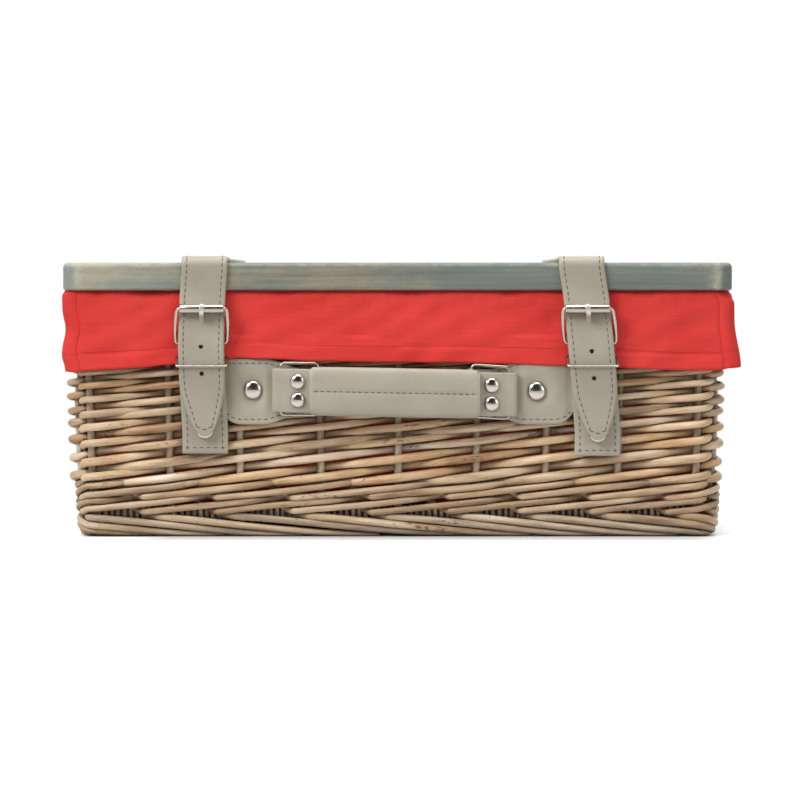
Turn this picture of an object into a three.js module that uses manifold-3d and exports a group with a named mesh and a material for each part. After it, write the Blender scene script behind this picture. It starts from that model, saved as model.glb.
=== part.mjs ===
// Willow hamper with a cloth lining, a wooden lid, two buckled leather straps and a leather front handle.
// Millimetres, +Z up, front towards -Y. The origin lies on the floor under the middle of the whole object.
import * as THREE from 'three';
import { mergeVertices } from 'three/addons/utils/BufferGeometryUtils.js';
import Module from 'manifold-3d';

const wasm = await Module();
wasm.setup();

// Driving dimensions of the wooden lid
const lidWidth = 410;
const lidDepth = 300;
const lidThick = 17;
const lidCorner = 9;
const lidEase = 2.5;
const lidOverhangX = 1.8;
const lidOverhangY = 4.3;

// Driving dimensions of the willow body; its walls lean out towards the rim
const rimTop = 149.5;
const wallLean = 5.2;
const wallThick = 13;
const bodyCorner = 12;
const footHeight = 16;
const waleHeight = 18.7;
const waleBulge = 1;
const weaveRows = 7;
const weaveDepth = 5;
const railHeight = 4.7;
const rimHeight = 9.7;
const rimBulge = 0.5;
const borderEase = 2.5;
const baseThick = 8;
const baseUnder = 8.5;
const baseRibs = 61;
const ribDepth = 2.8;
const baseCorner = 4;
const stakeRadius = 2.5;
const longStakes = 9;
const shortStakes = 7;
const longStakeInset = 8.5;
const shortStakeInset = 15.5;

// Driving dimensions of the lining
const clothThick = 1.2;
const skirtRoomX = 1;
const skirtRoomY = 0.4;
const hemCornerSag = 8;
const liningCorner = 6;
const foldDepth = 0.6;
const foldTurnX = 0.11;
const foldTurnY = 0.13;
const cornerFlare = 3.5;
const cornerFlareReach = 16;

// Driving dimensions of the leather straps
const strapWidth = 28;
const strapThick = 2.8;
const leftStrapX = -119;
const rightStrapX = 112.4;
const rightLean = 0.0734;
const tipBelowRivet = 4.4;
const tongueTaper = 26;
const tipRound = 3;
const holePitch = 16.5;
const holeRadius = 1.4;
const buckleStrapTail = 14.1;
const buckleStrapThick = 3;
const hingeStrapTail = 16;

// Driving dimensions of the buckles; the back bar carries the frame and the prong
const wireRadius = 1.1;
const buckleDrop = 32.2;
const frameRise = 21;
const frameSpread = 0.5;
const frameCorner = 2.4;
const eyeWall = 1.5;
const rollerRadius = 2.9;
const prongWidth = 3.4;
const prongThick = 1.6;
const keeperWire = 0.8;
const keeperCorner = 1.6;
const keeperFrontDrop = 14;
const keeperRearDrop = 8.1;

// Driving dimensions of the handle, measured from its middle
const handleX = -1.7;
const handleZ = 90;
const gripHalf = 52;
const gripHeight = 30;
const gripThick = 9.5;
const gripEase = 1.5;
const gripCorner = 2.6;
const gripBack = 1;
const flapHeight = 26.8;
const coreHeight = 20;
const loopLeather = 1.4;
const loopCorner = 1.5;
const ringWire = 1;
const ringWidth = 23.2;
const ringHeight = 31;
const ringCorner = 3;
const tabLength = 54.6;
const tabHeight = 39.6;
const tabThick = 2.2;
const tabCorner = 8;
const tabEyeHeight = 26.6;
const handleRivetInset = 7.2;
const handleRivetRise = 5.6;
const tabRivetInset = 14.6;

// Rivets: a head, a shank and, on those through the walls, a flat tail
const shankRadius = 1.4;
const headHeight = 2.4;
const wallHeadRadius = 5.3;
const handleHeadRadius = 4.4;
const lidHeadHeight = 1;
const lidRivetLength = 10;
const tailRadius = 4;
const tailThick = 0.9;
const buckleRivetZ = 65.4;
const hingeRivetZ = 78;
const lidRivetFront = 90;
const lidRivetRear = 32;

// Clearances between pieces
const gap = 0.3;
const wallRoom = 0.5;
const skirtClear = 0.9;
const sideRoom = 0.5;
const leatherRoom = 0.6;
const rollerRoom = 0.7;
const wireRoom = 0.7;
const loopTravel = 6.1;
const tailRoom = 0.6;
const liningEase = 0.7;
const hemRoom = 0.2;
const centreShift = 5.2;

// Heights that follow from the sizes above
const clothTop = rimTop + gap + clothThick;
const lidUnder = clothTop + gap;
const lidTop = lidUnder + lidThick;
const waleFoot = footHeight + gap;
const waleTop = waleFoot + waleHeight;
const weaveFoot = waleTop + gap;
const rimFoot = rimTop - rimHeight;
const railTop = rimFoot - gap;
const railFoot = railTop - railHeight;
const weaveTop = railFoot - gap;
const barZ = lidUnder - buckleDrop;
const rollerZ = barZ + frameRise;
const keeperFrontZ = barZ - keeperFrontDrop;
const keeperRearZ = barZ - keeperRearDrop;
const tongueTip = buckleRivetZ - tipBelowRivet;
const buckleStrapEnd = buckleRivetZ - buckleStrapTail;
const hingeStrapEnd = hingeRivetZ - hingeStrapTail;
const hemZ = handleZ + tabHeight / 2 + hemRoom;
const lidStrapTop = lidTop + gap + strapThick;

// Half sizes of the willow walls' outer face at any height
function bodyHalfX(z) {
  return lidWidth / 2 - lidOverhangX - wallLean * (1 - z / rimTop);
}

function bodyHalfY(z) {
  return lidDepth / 2 - lidOverhangY - wallLean * (1 - z / rimTop);
}

// Planes and places that follow from the sizes above
const lidFront = -lidDepth / 2;
const hingeY = lidDepth / 2 + gap + strapThick / 2;
const hingeSplit = lidUnder + gap;
const skirtReachX = bodyHalfX(rimTop) + rimBulge + skirtRoomX + clothThick;
const skirtReachY = bodyHalfY(rimTop) + rimBulge + skirtRoomY + clothThick;
const rightStrapFootX = rightStrapX + rightLean * (lidTop - buckleStrapEnd);
const rightRivetX = rightStrapX + rightLean * (lidTop - buckleRivetZ);
const boreRadius = shankRadius + gap;
const liningRoom = tailRoom + tailThick + liningEase;
const buckleStrapKnee = buckleRivetZ + wallHeadRadius + leatherRoom;
const buckleStrapFoot = -(bodyHalfY(buckleStrapKnee) + wallRoom + buckleStrapThick / 2);
const eyeRadius = wireRadius + gap + eyeWall;
const barY = -(skirtReachY + skirtClear + eyeRadius);
const tongueFace = lidFront - gap - strapThick / 2;
const tongueLift = 1.8;
const tongueRollerY = tongueFace - tongueLift;
const tongueBarY = barY - eyeRadius - wallRoom - strapThick / 2;
const buckleRivetSeat = buckleStrapFoot - buckleStrapThick / 2 - gap / 2;
const tongueRivetY = buckleRivetSeat - headHeight - leatherRoom - strapThick / 2;
const rollerY = tongueRollerY - strapThick / 2 - rollerRoom - rollerRadius;
const rollerLength = strapWidth - 2 * sideRoom;
const frameHalfFoot = strapWidth / 2 + wireRadius + sideRoom;
const frameHalfTop = frameHalfFoot + frameSpread;
const keeperHalf = strapWidth / 2 + keeperWire + leatherRoom;
const wallBack = bodyHalfY(hingeRivetZ) + wallRoom + gap + strapThick / 2;
const skirtBack = skirtReachY + gap + foldDepth + strapThick / 2;

// The handle's places along X from its middle, and its planes from back to front
const flapEnd = gripHalf + gap;
const handleRivetX = gripHalf + handleRivetInset;
const slotInner = handleRivetX + boreRadius + 2 * gap + loopLeather;
const ringOuter = slotInner + loopTravel + ringWire;
const ringInner = ringOuter - ringWidth;
const slotOuter = ringOuter + ringWire + 2 * loopLeather;
const loopEnd = slotOuter + loopLeather;
const tabEnd = ringInner + tabLength;
const tabRivetX = tabEnd - tabRivetInset;
const tabRear = -(bodyHalfY(handleZ + tabHeight / 2) + gap);
const tabFront = tabRear - tabThick;
const tabEye = ringWire + gap + eyeWall;
const ringInnerY = tabRear - tabEye;
const gripRear = ringInnerY - tabEye - gap;
const coreRear = gripRear - gripBack - gap;
const loopRear = tabFront - gap;
const slotRear = loopRear - loopLeather;
const slotFront = Math.min(coreRear, slotRear - 2 * (ringWire + wireRoom));
const ringOuterY = (slotRear + slotFront) / 2;
const coreFront = coreRear - loopLeather;
const flapFront = coreFront - loopLeather;
const gripFront = gripRear - gripThick;

const willow = new THREE.MeshStandardMaterial({ color: 0xa8845c, roughness: 0.7, metalness: 0 });
const paleWillow = new THREE.MeshStandardMaterial({ color: 0x8f8272, roughness: 0.75, metalness: 0 });
const washedWood = new THREE.MeshStandardMaterial({ color: 0xa9aca0, roughness: 0.7, metalness: 0 });
const leather = new THREE.MeshStandardMaterial({ color: 0xb0a998, roughness: 0.55, metalness: 0 });
const cotton = new THREE.MeshStandardMaterial({ color: 0xeb4641, roughness: 0.9, metalness: 0 });
const chrome = new THREE.MeshStandardMaterial({ color: 0xd8d8d8, roughness: 0.12, metalness: 1 });

const hamper = new THREE.Group();
hamper.position.y = centreShift;

function addMesh(name, geometry, material) {
  const mesh = new THREE.Mesh(geometry, material);
  mesh.name = name;
  hamper.add(mesh);
}

// Booleans on closed meshes
function solidOf(geometry) {
  const bare = new THREE.BufferGeometry();
  bare.setAttribute('position', geometry.getAttribute('position').clone());
  bare.setIndex(geometry.index ? geometry.index.clone() : null);
  const merged = mergeVertices(bare, 1e-4);
  const vertProperties = new Float32Array(merged.getAttribute('position').array);
  const triVerts = new Uint32Array(merged.index.array);
  return new wasm.Manifold(new wasm.Mesh({ numProp: 3, vertProperties, triVerts }));
}

function geometryOf(solid) {
  const { vertProperties, triVerts } = solid.getMesh();
  const geometry = new THREE.BufferGeometry();
  geometry.setAttribute('position', new THREE.BufferAttribute(vertProperties, 3));
  geometry.setIndex(new THREE.BufferAttribute(triVerts, 1));
  return geometry;
}

function cut(geometry, ...tools) {
  return geometryOf(tools.reduce((solid, tool) => solid.subtract(solidOf(tool)), solidOf(geometry)));
}

function join(...geometries) {
  return geometryOf(geometries.map(solidOf).reduce((all, next) => all.add(next)));
}

// Extrusions across the object, upwards and from back to front
const axisX = new THREE.Vector3(1, 0, 0);
const axisY = new THREE.Vector3(0, 1, 0);
const axisZ = new THREE.Vector3(0, 0, 1);

function extrude(shape, depth) {
  return new THREE.ExtrudeGeometry(shape, { depth, bevelEnabled: false, curveSegments: 5 });
}

function acrossX(sideShape, width) {
  const geometry = extrude(sideShape, width).translate(0, 0, -width / 2);
  return geometry.applyMatrix4(new THREE.Matrix4().makeBasis(axisY, axisZ, axisX));
}

function upZ(planShape, low, high) {
  return extrude(planShape, high - low).translate(0, 0, low);
}

function alongY(frontShape, front, back) {
  const geometry = extrude(frontShape, back - front).translate(0, 0, -back);
  return geometry.applyMatrix4(new THREE.Matrix4().makeBasis(axisX, axisZ, axisY.clone().negate()));
}

function pinAlongY(x, z, radius, front, back) {
  const hole = new THREE.Shape();
  hole.absarc(x, z, radius, 0, 2 * Math.PI);
  return alongY(hole, front, back);
}

// A strip of even thickness along a smooth line drawn in a plane
function stripShape(path, thickness) {
  const left = [];
  const right = [];
  path.forEach((point, i) => {
    const before = path[Math.max(i - 1, 0)];
    const after = path[Math.min(i + 1, path.length - 1)];
    const along = after.clone().sub(before).normalize();
    const aside = new THREE.Vector2(-along.y, along.x).multiplyScalar(thickness / 2);
    left.push(point.clone().add(aside));
    right.unshift(point.clone().sub(aside));
  });
  return new THREE.Shape([...left, ...right]);
}

function smooth(pairs, steps) {
  return new THREE.SplineCurve(pairs.map(([a, b]) => new THREE.Vector2(a, b))).getSpacedPoints(steps);
}

function roundedBox(halfX, halfY, radius) {
  const shape = new THREE.Shape();
  shape.absarc(halfX - radius, -halfY + radius, radius, -Math.PI / 2, 0);
  shape.absarc(halfX - radius, halfY - radius, radius, 0, Math.PI / 2);
  shape.absarc(-halfX + radius, halfY - radius, radius, Math.PI / 2, Math.PI);
  shape.absarc(-halfX + radius, -halfY + radius, radius, Math.PI, 1.5 * Math.PI);
  return shape;
}

// Stations round a rounded rectangle, seen from above, with the outward direction at each one
function stations(longSteps, shortSteps, cornerSteps) {
  const list = [];
  [longSteps, shortSteps, longSteps, shortSteps].forEach((steps, side) => {
    for (let i = 1; i < steps; i += 1) {
      list.push({ side, along: (2 * i) / steps - 1, turn: 0 });
    }
    for (let i = 0; i <= cornerSteps; i += 1) {
      list.push({ side, along: 1, turn: i / cornerSteps });
    }
  });
  return list;
}

function planPoint(station, halfX, halfY, radius) {
  const angle = (station.side - 1 + station.turn) * (Math.PI / 2);
  const normal = new THREE.Vector2(Math.cos(angle), Math.sin(angle));
  const [reachX, reachY] = [halfX - radius, halfY - radius];
  const middles = [[station.along * reachX, -reachY], [reachX, station.along * reachY],
    [-station.along * reachX, reachY], [-reachX, -station.along * reachY]];
  return { spot: new THREE.Vector2(...middles[station.side]).addScaledVector(normal, radius), normal };
}

// Skin through rings of equal length; the rings close on themselves, or end in a fan at a middle point
function skin(rings, closedRound) {
  const size = rings[0].length;
  const points = rings.flat();
  const faces = [];
  const bands = closedRound ? rings.length : rings.length - 1;
  for (let r = 0; r < bands; r += 1) {
    const next = (r + 1) % rings.length;
    for (let i = 0; i < size; i += 1) {
      const j = (i + 1) % size;
      faces.push(r * size + i, r * size + j, next * size + j);
      faces.push(r * size + i, next * size + j, next * size + i);
    }
  }
  if (!closedRound) {
    const ends = [[rings[0], 0, true], [rings.at(-1), (rings.length - 1) * size, false]];
    ends.forEach(([ring, start, first]) => {
      points.push(new THREE.Vector3(0, 0, ring[0].z));
      const middle = points.length - 1;
      for (let i = 0; i < size; i += 1) {
        const j = (i + 1) % size;
        faces.push(middle, ...(first ? [start + j, start + i] : [start + i, start + j]));
      }
    });
  }
  const geometry = new THREE.BufferGeometry().setFromPoints(points);
  geometry.setIndex(faces);
  return geometry;
}

const ringStations = stations(1, 1, 3);
const innerCorner = 2;

function bodyRing(inset, z) {
  const radius = Math.max(bodyCorner - inset, innerCorner);
  return ringStations.map((station) => {
    const { spot } = planPoint(station, bodyHalfX(z) - inset, bodyHalfY(z) - inset, radius);
    return new THREE.Vector3(spot.x, spot.y, z);
  });
}

function wovenRing(profile) {
  return skin(profile.map(([inset, z]) => bodyRing(inset, z)), true);
}

// The weave passes in front of one stake and behind the next: 1 where it is in front, -1 where it is behind
const weaveStations = stations(2 * (longStakes - 1), 2 * (shortStakes - 1), 2);
const stakesBefore = [0, longStakes, longStakes + shortStakes, 2 * longStakes + shortStakes];

function overUnder(station) {
  const bays = (station.side % 2 ? shortStakes : longStakes) - 1;
  const stake = stakesBefore[station.side] + ((station.along + 1) / 2) * bays + station.turn;
  return Math.cos(Math.PI * stake);
}

function weaveRing(z, insetAt) {
  return weaveStations.map((station) => {
    const inset = insetAt(station);
    const radius = Math.max(bodyCorner - inset, innerCorner);
    const { spot } = planPoint(station, bodyHalfX(z) - inset, bodyHalfY(z) - inset, radius);
    return new THREE.Vector3(spot.x, spot.y, z);
  });
}

// Places of the upright stakes in the middle of the wall, at any height
function stakeLines() {
  const sides = { front: [], right: [], back: [], left: [] };
  const centre = wallThick / 2;
  const place = (i, count, reach) => ((2 * i) / (count - 1) - 1) * reach;
  for (let i = 0; i < longStakes; i += 1) {
    const x = place(i, longStakes, bodyHalfX(0) - longStakeInset);
    sides.front.push((z) => [x, -bodyHalfY(z) + centre]);
    sides.back.push((z) => [x, bodyHalfY(z) - centre]);
  }
  for (let i = 0; i < shortStakes; i += 1) {
    const y = place(i, shortStakes, bodyHalfY(0) - shortStakeInset);
    sides.left.push((z) => [-bodyHalfX(z) + centre, y]);
    sides.right.push((z) => [bodyHalfX(z) - centre, y]);
  }
  return sides;
}

const stakeSides = stakeLines();
const allStakes = Object.values(stakeSides).flat();

function stakeRod(line, radius, low, high) {
  const [lowX, lowY] = line(low);
  const [highX, highY] = line(high);
  const rod = new THREE.CylinderGeometry(radius, radius, 1, 6).rotateX(Math.PI / 2).translate(0, 0, 0.5);
  const lean = new THREE.Matrix4().set(
    1, 0, highX - lowX, lowX,
    0, 1, highY - lowY, lowY,
    0, 0, high - low, low,
    0, 0, 0, 1,
  );
  return rod.applyMatrix4(lean);
}

const stakeBores = allStakes.map((line) => stakeRod(line, stakeRadius + gap, footHeight, railTop));

// Rivets through the front and back walls
const frontRivets = [
  { name: 'left_buckle_strap_rivet', x: leftStrapX, z: buckleRivetZ, seat: buckleRivetSeat },
  { name: 'right_buckle_strap_rivet', x: rightRivetX, z: buckleRivetZ, seat: buckleRivetSeat },
  { name: 'left_tab_rivet', x: handleX - tabRivetX, z: handleZ, seat: tabFront - gap / 2 },
  { name: 'right_tab_rivet', x: handleX + tabRivetX, z: handleZ, seat: tabFront - gap / 2 },
];
const backRivets = [
  { name: 'left_hinge_strap_rivet', x: leftStrapX, z: hingeRivetZ },
  { name: 'right_hinge_strap_rivet', x: rightStrapX, z: hingeRivetZ },
];
const frontBores = frontRivets.map(({ x, z }) => pinAlongY(x, z, boreRadius, lidFront, 0));
const backBores = backRivets.map(({ x, z }) => pinAlongY(x, z, boreRadius, 0, lidDepth / 2));

// A rivet along Y with its head towards -Y, seated on the plane y = 0; a tail is flattened beyond its length
function rivet(headRadius, headHeight, length, hasTail) {
  const outline = [[0, -headHeight]];
  const rings = 2;
  for (let i = 1; i < rings; i += 1) {
    const angle = (i / rings) * (Math.PI / 2);
    outline.push([headRadius * Math.sin(angle), -headHeight * Math.cos(angle)]);
  }
  outline.push([headRadius, 0], [shankRadius, 0], [shankRadius, length]);
  if (hasTail) {
    outline.push([tailRadius, length], [tailRadius, length + tailThick], [0, length + tailThick]);
  } else {
    outline.push([0, length]);
  }
  const profile = outline.map(([radius, height]) => new THREE.Vector2(radius, height));
  return new THREE.LatheGeometry(profile, 8);
}

// The willow body
function borderRing(low, high, bulge) {
  const [outer, inner] = [borderEase - bulge, wallThick - borderEase];
  return wovenRing([
    [outer, low], [-bulge, low + borderEase], [-bulge, high - borderEase], [outer, high],
    [inner, high], [wallThick, high - borderEase], [wallThick, low + borderEase], [inner, low],
  ]);
}

function buildBody() {
  addMesh('foot_border', borderRing(0, footHeight, 0), willow);
  addMesh('rim_border', borderRing(rimFoot, rimTop, rimBulge), willow);

  const round = waleHeight / 2;
  const wale = wovenRing([
    [waleBulge, waleFoot], [-waleBulge, waleFoot + round / 2], [waleBulge / 2, waleFoot + round],
    [-waleBulge, waleTop - round / 2], [waleBulge, waleTop], [wallThick, waleTop], [wallThick, waleFoot],
  ]);
  addMesh('bottom_wale', cut(wale, ...stakeBores), willow);

  const between = () => weaveDepth / 2;
  const inside = () => wallThick;
  const rows = [weaveRing(weaveFoot, between)];
  const rowHeight = (weaveTop - weaveFoot) / weaveRows;
  for (let i = 0; i < weaveRows; i += 1) {
    const low = weaveFoot + i * rowHeight;
    const way = i % 2 ? -1 : 1;
    rows.push(weaveRing(low + rowHeight / 2, (station) => (weaveDepth * (1 - way * overUnder(station))) / 2));
    rows.push(weaveRing(low + rowHeight, between));
  }
  rows.push(weaveRing(weaveTop, inside), weaveRing(weaveFoot, inside));
  addMesh('side_weave', cut(skin(rows, true), ...stakeBores, ...frontBores, ...backBores), willow);

  const railMiddle = (railFoot + railTop) / 2;
  Object.entries(stakeSides).forEach(([side, lines]) => {
    const rods = lines.map((line) => stakeRod(line, stakeRadius, waleFoot, railMiddle));
    const [firstX, firstY] = lines[0](railMiddle);
    const [lastX, lastY] = lines.at(-1)(railMiddle);
    const railWidth = lastX - firstX + 2 * stakeRadius;
    const railDepth = lastY - firstY + 2 * stakeRadius;
    const rail = new THREE.BoxGeometry(railWidth, railDepth, railHeight);
    rail.translate((firstX + lastX) / 2, (firstY + lastY) / 2, railMiddle);
    addMesh(`${side}_stakes`, cut(join(rail, ...rods), ...frontBores, ...backBores), paleWillow);
  });

  const [baseX, baseY] = [bodyHalfX(baseUnder), bodyHalfY(baseUnder)].map((half) => half - wallThick - gap);
  const baseTop = baseUnder + baseThick;
  const mat = upZ(roundedBox(baseX, baseY, baseCorner), baseUnder, baseTop);
  const ribbed = new THREE.Shape();
  ribbed.moveTo(-2 * baseX, baseTop + gap);
  ribbed.lineTo(-2 * baseX, baseUnder + ribDepth);
  for (let i = 0; i <= 2 * baseRibs; i += 1) {
    ribbed.lineTo(baseX * (i / baseRibs - 1), i % 2 ? baseUnder : baseUnder + ribDepth);
  }
  ribbed.lineTo(2 * baseX, baseUnder + ribDepth);
  ribbed.lineTo(2 * baseX, baseTop + gap);
  const ribs = alongY(ribbed, -2 * baseY, 2 * baseY);
  addMesh('woven_base', geometryOf(solidOf(mat).intersect(solidOf(ribs))), willow);
}

// The lining: a bag with a floor, folded over the rim into a skirt that hangs outside
function buildLining() {
  const list = stations(18, 12, 2);
  const bagInset = wallThick + liningRoom;
  const floorUnder = baseUnder + baseThick + gap;

  const bag = (inset, z) => list.map((station) => {
    const { spot } = planPoint(station, bodyHalfX(z) - inset, bodyHalfY(z) - inset, liningCorner);
    return new THREE.Vector3(spot.x, spot.y, z);
  });
  const heldPlaces = [leftStrapX, rightRivetX, handleX - tabRivetX, handleX + tabRivetX];
  const heldFlat = (x) => heldPlaces.some((place) => Math.abs(x - place) < 2 * strapWidth);
  const levelHalf = tabEnd + Math.abs(handleX) + tabThick;
  const skirt = (inset, drop) => list.map((station) => {
    const { spot, normal } = planPoint(station, skirtReachX - inset, skirtReachY - inset, bodyCorner);
    const onLongSide = station.side % 2 === 0 && station.turn === 0;
    const still = onLongSide && heldFlat(spot.x);
    const wave = still ? 0 : foldDepth * Math.sin(spot.x * foldTurnX + spot.y * foldTurnY);
    const fromCorner = Math.hypot(spot.x - skirtReachX, spot.y + skirtReachY) / cornerFlareReach;
    const flare = cornerFlare * Math.exp(-(fromCorner ** 2)) * Math.max(normal.x, 0);
    spot.addScaledVector(normal, drop * (wave + drop * flare));
    const towardsCorner = Math.max((Math.abs(spot.x) - levelHalf) / (skirtReachX - levelHalf), 0);
    const hem = hemZ - hemCornerSag * towardsCorner;
    return new THREE.Vector3(spot.x, spot.y, THREE.MathUtils.lerp(clothTop - clothThick, hem, drop));
  });
  const flat = (ring, z) => ring.map((point) => new THREE.Vector3(point.x, point.y, z));

  addMesh('lining', skin([
    bag(bagInset, floorUnder),
    flat(bag(bagInset, clothTop), clothTop - clothThick),
    flat(skirt(2 * clothThick, 0), clothTop - clothThick),
    skirt(clothThick, 0),
    skirt(clothThick, 0.5),
    skirt(clothThick, 1),
    skirt(0, 1),
    skirt(0, 0.5),
    skirt(0, 0),
    flat(skirt(clothThick, 0), clothTop),
    flat(bag(bagInset, clothTop), clothTop),
    bag(bagInset + clothThick, clothTop - clothThick),
    bag(bagInset + clothThick, floorUnder + clothThick),
  ], false), cotton);
}

// The lid board, with eased edges and two rivet holes under each strap
const straps = [
  { side: 'left', x: leftStrapX, footX: leftStrapX, lean: 0 },
  { side: 'right', x: rightStrapX, footX: rightStrapFootX, lean: rightLean },
];
const lidRivetPlaces = [lidFront + lidRivetFront, lidDepth / 2 - lidRivetRear];

// Middle line of a strap where it turns down over the front (-1) or rear (1) edge of the lid
const bendRadius = lidEase + gap + strapThick / 2;
const tongueSplit = lidFront + lidEase;

function edgeBend(way) {
  const bend = [];
  const steps = 4;
  for (let i = 0; i <= steps; i += 1) {
    const angle = (i / steps) * (Math.PI / 2);
    const y = way * (lidDepth / 2 - lidEase + bendRadius * Math.cos(angle));
    bend.push(new THREE.Vector2(y, lidTop - lidEase + bendRadius * Math.sin(angle)));
  }
  return bend;
}

function buildLid() {
  const plan = roundedBox(lidWidth / 2 - lidEase, lidDepth / 2 - lidEase, lidCorner - lidEase);
  const board = new THREE.ExtrudeGeometry(plan, {
    depth: lidThick - 2 * lidEase,
    bevelThickness: lidEase,
    bevelSize: lidEase,
    bevelSegments: 2,
    curveSegments: 3,
  }).translate(0, 0, lidUnder + lidEase);
  const holeOf = (x, y) => new THREE.CylinderGeometry(boreRadius, boreRadius, 2 * lidRivetLength, 8)
    .rotateX(Math.PI / 2).translate(x, y, lidStrapTop);
  const holes = straps.flatMap(({ x }) => lidRivetPlaces.map((y) => holeOf(x, y)));
  addMesh('lid_board', cut(board, ...holes), washedWood);

  const middle = lidTop + gap + strapThick / 2;
  const path = [
    new THREE.Vector2(tongueSplit + gap, middle),
    new THREE.Vector2(0, middle),
    ...edgeBend(1).reverse(),
    new THREE.Vector2(hingeY, hingeSplit + gap),
  ];
  const shape = stripShape(path, strapThick);
  straps.forEach(({ side, x }, strapIndex) => {
    const strap = acrossX(shape, strapWidth).translate(x, 0, 0);
    addMesh(`${side}_lid_strap`, cut(strap, ...holes.slice(2 * strapIndex, 2 * strapIndex + 2)), leather);
    lidRivetPlaces.forEach((y, i) => {
      const geometry = rivet(tailRadius, lidHeadHeight, lidRivetLength, false).rotateX(-Math.PI / 2);
      geometry.translate(x, y, lidStrapTop + gap / 2);
      addMesh(`${side}_lid_strap_rivet_${i + 1}`, geometry, chrome);
    });
  });
}

// The lean of the right strap: each height is shifted sideways, so every cross bar stays level
function leaned(geometry, strap) {
  const shear = new THREE.Matrix4().set(
    1, 0, -strap.lean, strap.footX + strap.lean * buckleStrapEnd,
    0, 1, 0, 0,
    0, 0, 1, 0,
    0, 0, 0, 1,
  );
  return geometry.applyMatrix4(shear);
}

// Round wire along a closed flat loop; upright is the direction square to the loop's plane
function wireLoop(points, upright, radius) {
  const sides = 6;
  const rings = points.map((point, i) => {
    const before = points[(i + points.length - 1) % points.length];
    const after = points[(i + 1) % points.length];
    const along = after.clone().sub(before).normalize();
    const outward = upright.clone().cross(along).normalize();
    const ring = [];
    for (let k = 0; k < sides; k += 1) {
      const angle = (k / sides) * 2 * Math.PI;
      const spot = point.clone().addScaledVector(outward, radius * Math.cos(angle));
      ring.push(spot.addScaledVector(upright, radius * Math.sin(angle)));
    }
    return ring;
  });
  return skin(rings, true);
}

// Corners of a loop in its own plane, rounded and placed by a corner point and two directions
function roundedLoop(corners, radius, place) {
  const points = [];
  corners.forEach(([a, b], i) => {
    const corner = new THREE.Vector2(a, b);
    const before = new THREE.Vector2(...corners[(i + corners.length - 1) % corners.length]);
    const after = new THREE.Vector2(...corners[(i + 1) % corners.length]);
    const start = corner.clone().add(before.sub(corner).setLength(radius));
    const end = corner.clone().add(after.sub(corner).setLength(radius));
    points.push(...new THREE.QuadraticBezierCurve(start, corner, end).getPoints(3));
  });
  return points.map((point) => place(point.x, point.y));
}

// Lines of the tongue, the buckle strap and the prong, as seen from the side
const { lerp } = THREE.MathUtils;
const tongueHang = smooth([
  [tongueFace, lidTop - 2 * lidEase],
  [tongueFace, lidUnder],
  [tongueRollerY, rollerZ],
  [lerp(tongueRollerY, tongueBarY, 0.55), lerp(rollerZ, barZ, 0.5)],
  [tongueBarY, barZ],
  [tongueBarY + gap, keeperFrontZ],
  [lerp(tongueBarY, tongueRivetY, 0.58), lerp(keeperFrontZ, buckleRivetZ, 0.5)],
  [tongueRivetY, buckleRivetZ],
  [tongueRivetY + headHeight / 3, tongueTip],
], 24);
const tongueLine = [...edgeBend(-1).reverse(), ...tongueHang];
const buckleStrapLine = smooth([
  [buckleStrapFoot, buckleStrapEnd],
  [buckleStrapFoot, buckleStrapKnee],
  [lerp(buckleStrapFoot, barY, 0.35), lerp(buckleStrapKnee, barZ, 0.37)],
  [lerp(buckleStrapFoot, barY, 0.9), lerp(buckleStrapKnee, barZ, 0.67)],
  [barY, keeperRearZ],
  [barY, barZ],
], 14);

function arc(centreY, centreZ, radius, from, to, steps) {
  const points = [];
  for (let i = 0; i <= steps; i += 1) {
    const angle = THREE.MathUtils.degToRad(lerp(from, to, i / steps));
    points.push([centreY + radius * Math.cos(angle), centreZ + radius * Math.sin(angle)]);
  }
  return points;
}

// The prong is coiled on the bar, passes through the tongue and lies round the front of the roller
function prongLine() {
  const coilRadius = wireRadius + gap + prongThick / 2;
  const coil = arc(barY, barZ, coilRadius, -30, -210, 8).map(([y, z]) => new THREE.Vector2(y, z));
  const shank = smooth([
    [barY - 0.6 * coilRadius, barZ + 1.5 * coilRadius],
    [barY - 0.4 * coilRadius, lerp(barZ, rollerZ, 0.33)],
    [barY - 0.7 * coilRadius, lerp(barZ, rollerZ, 0.5)],
    [lerp(barY, rollerY, 0.7), lerp(barZ, rollerZ, 0.69)],
    ...arc(rollerY, rollerZ, rollerRadius + rollerRoom + prongThick / 2, 243, 125, 3),
  ], 14);
  return [...coil, ...shank];
}

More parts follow.
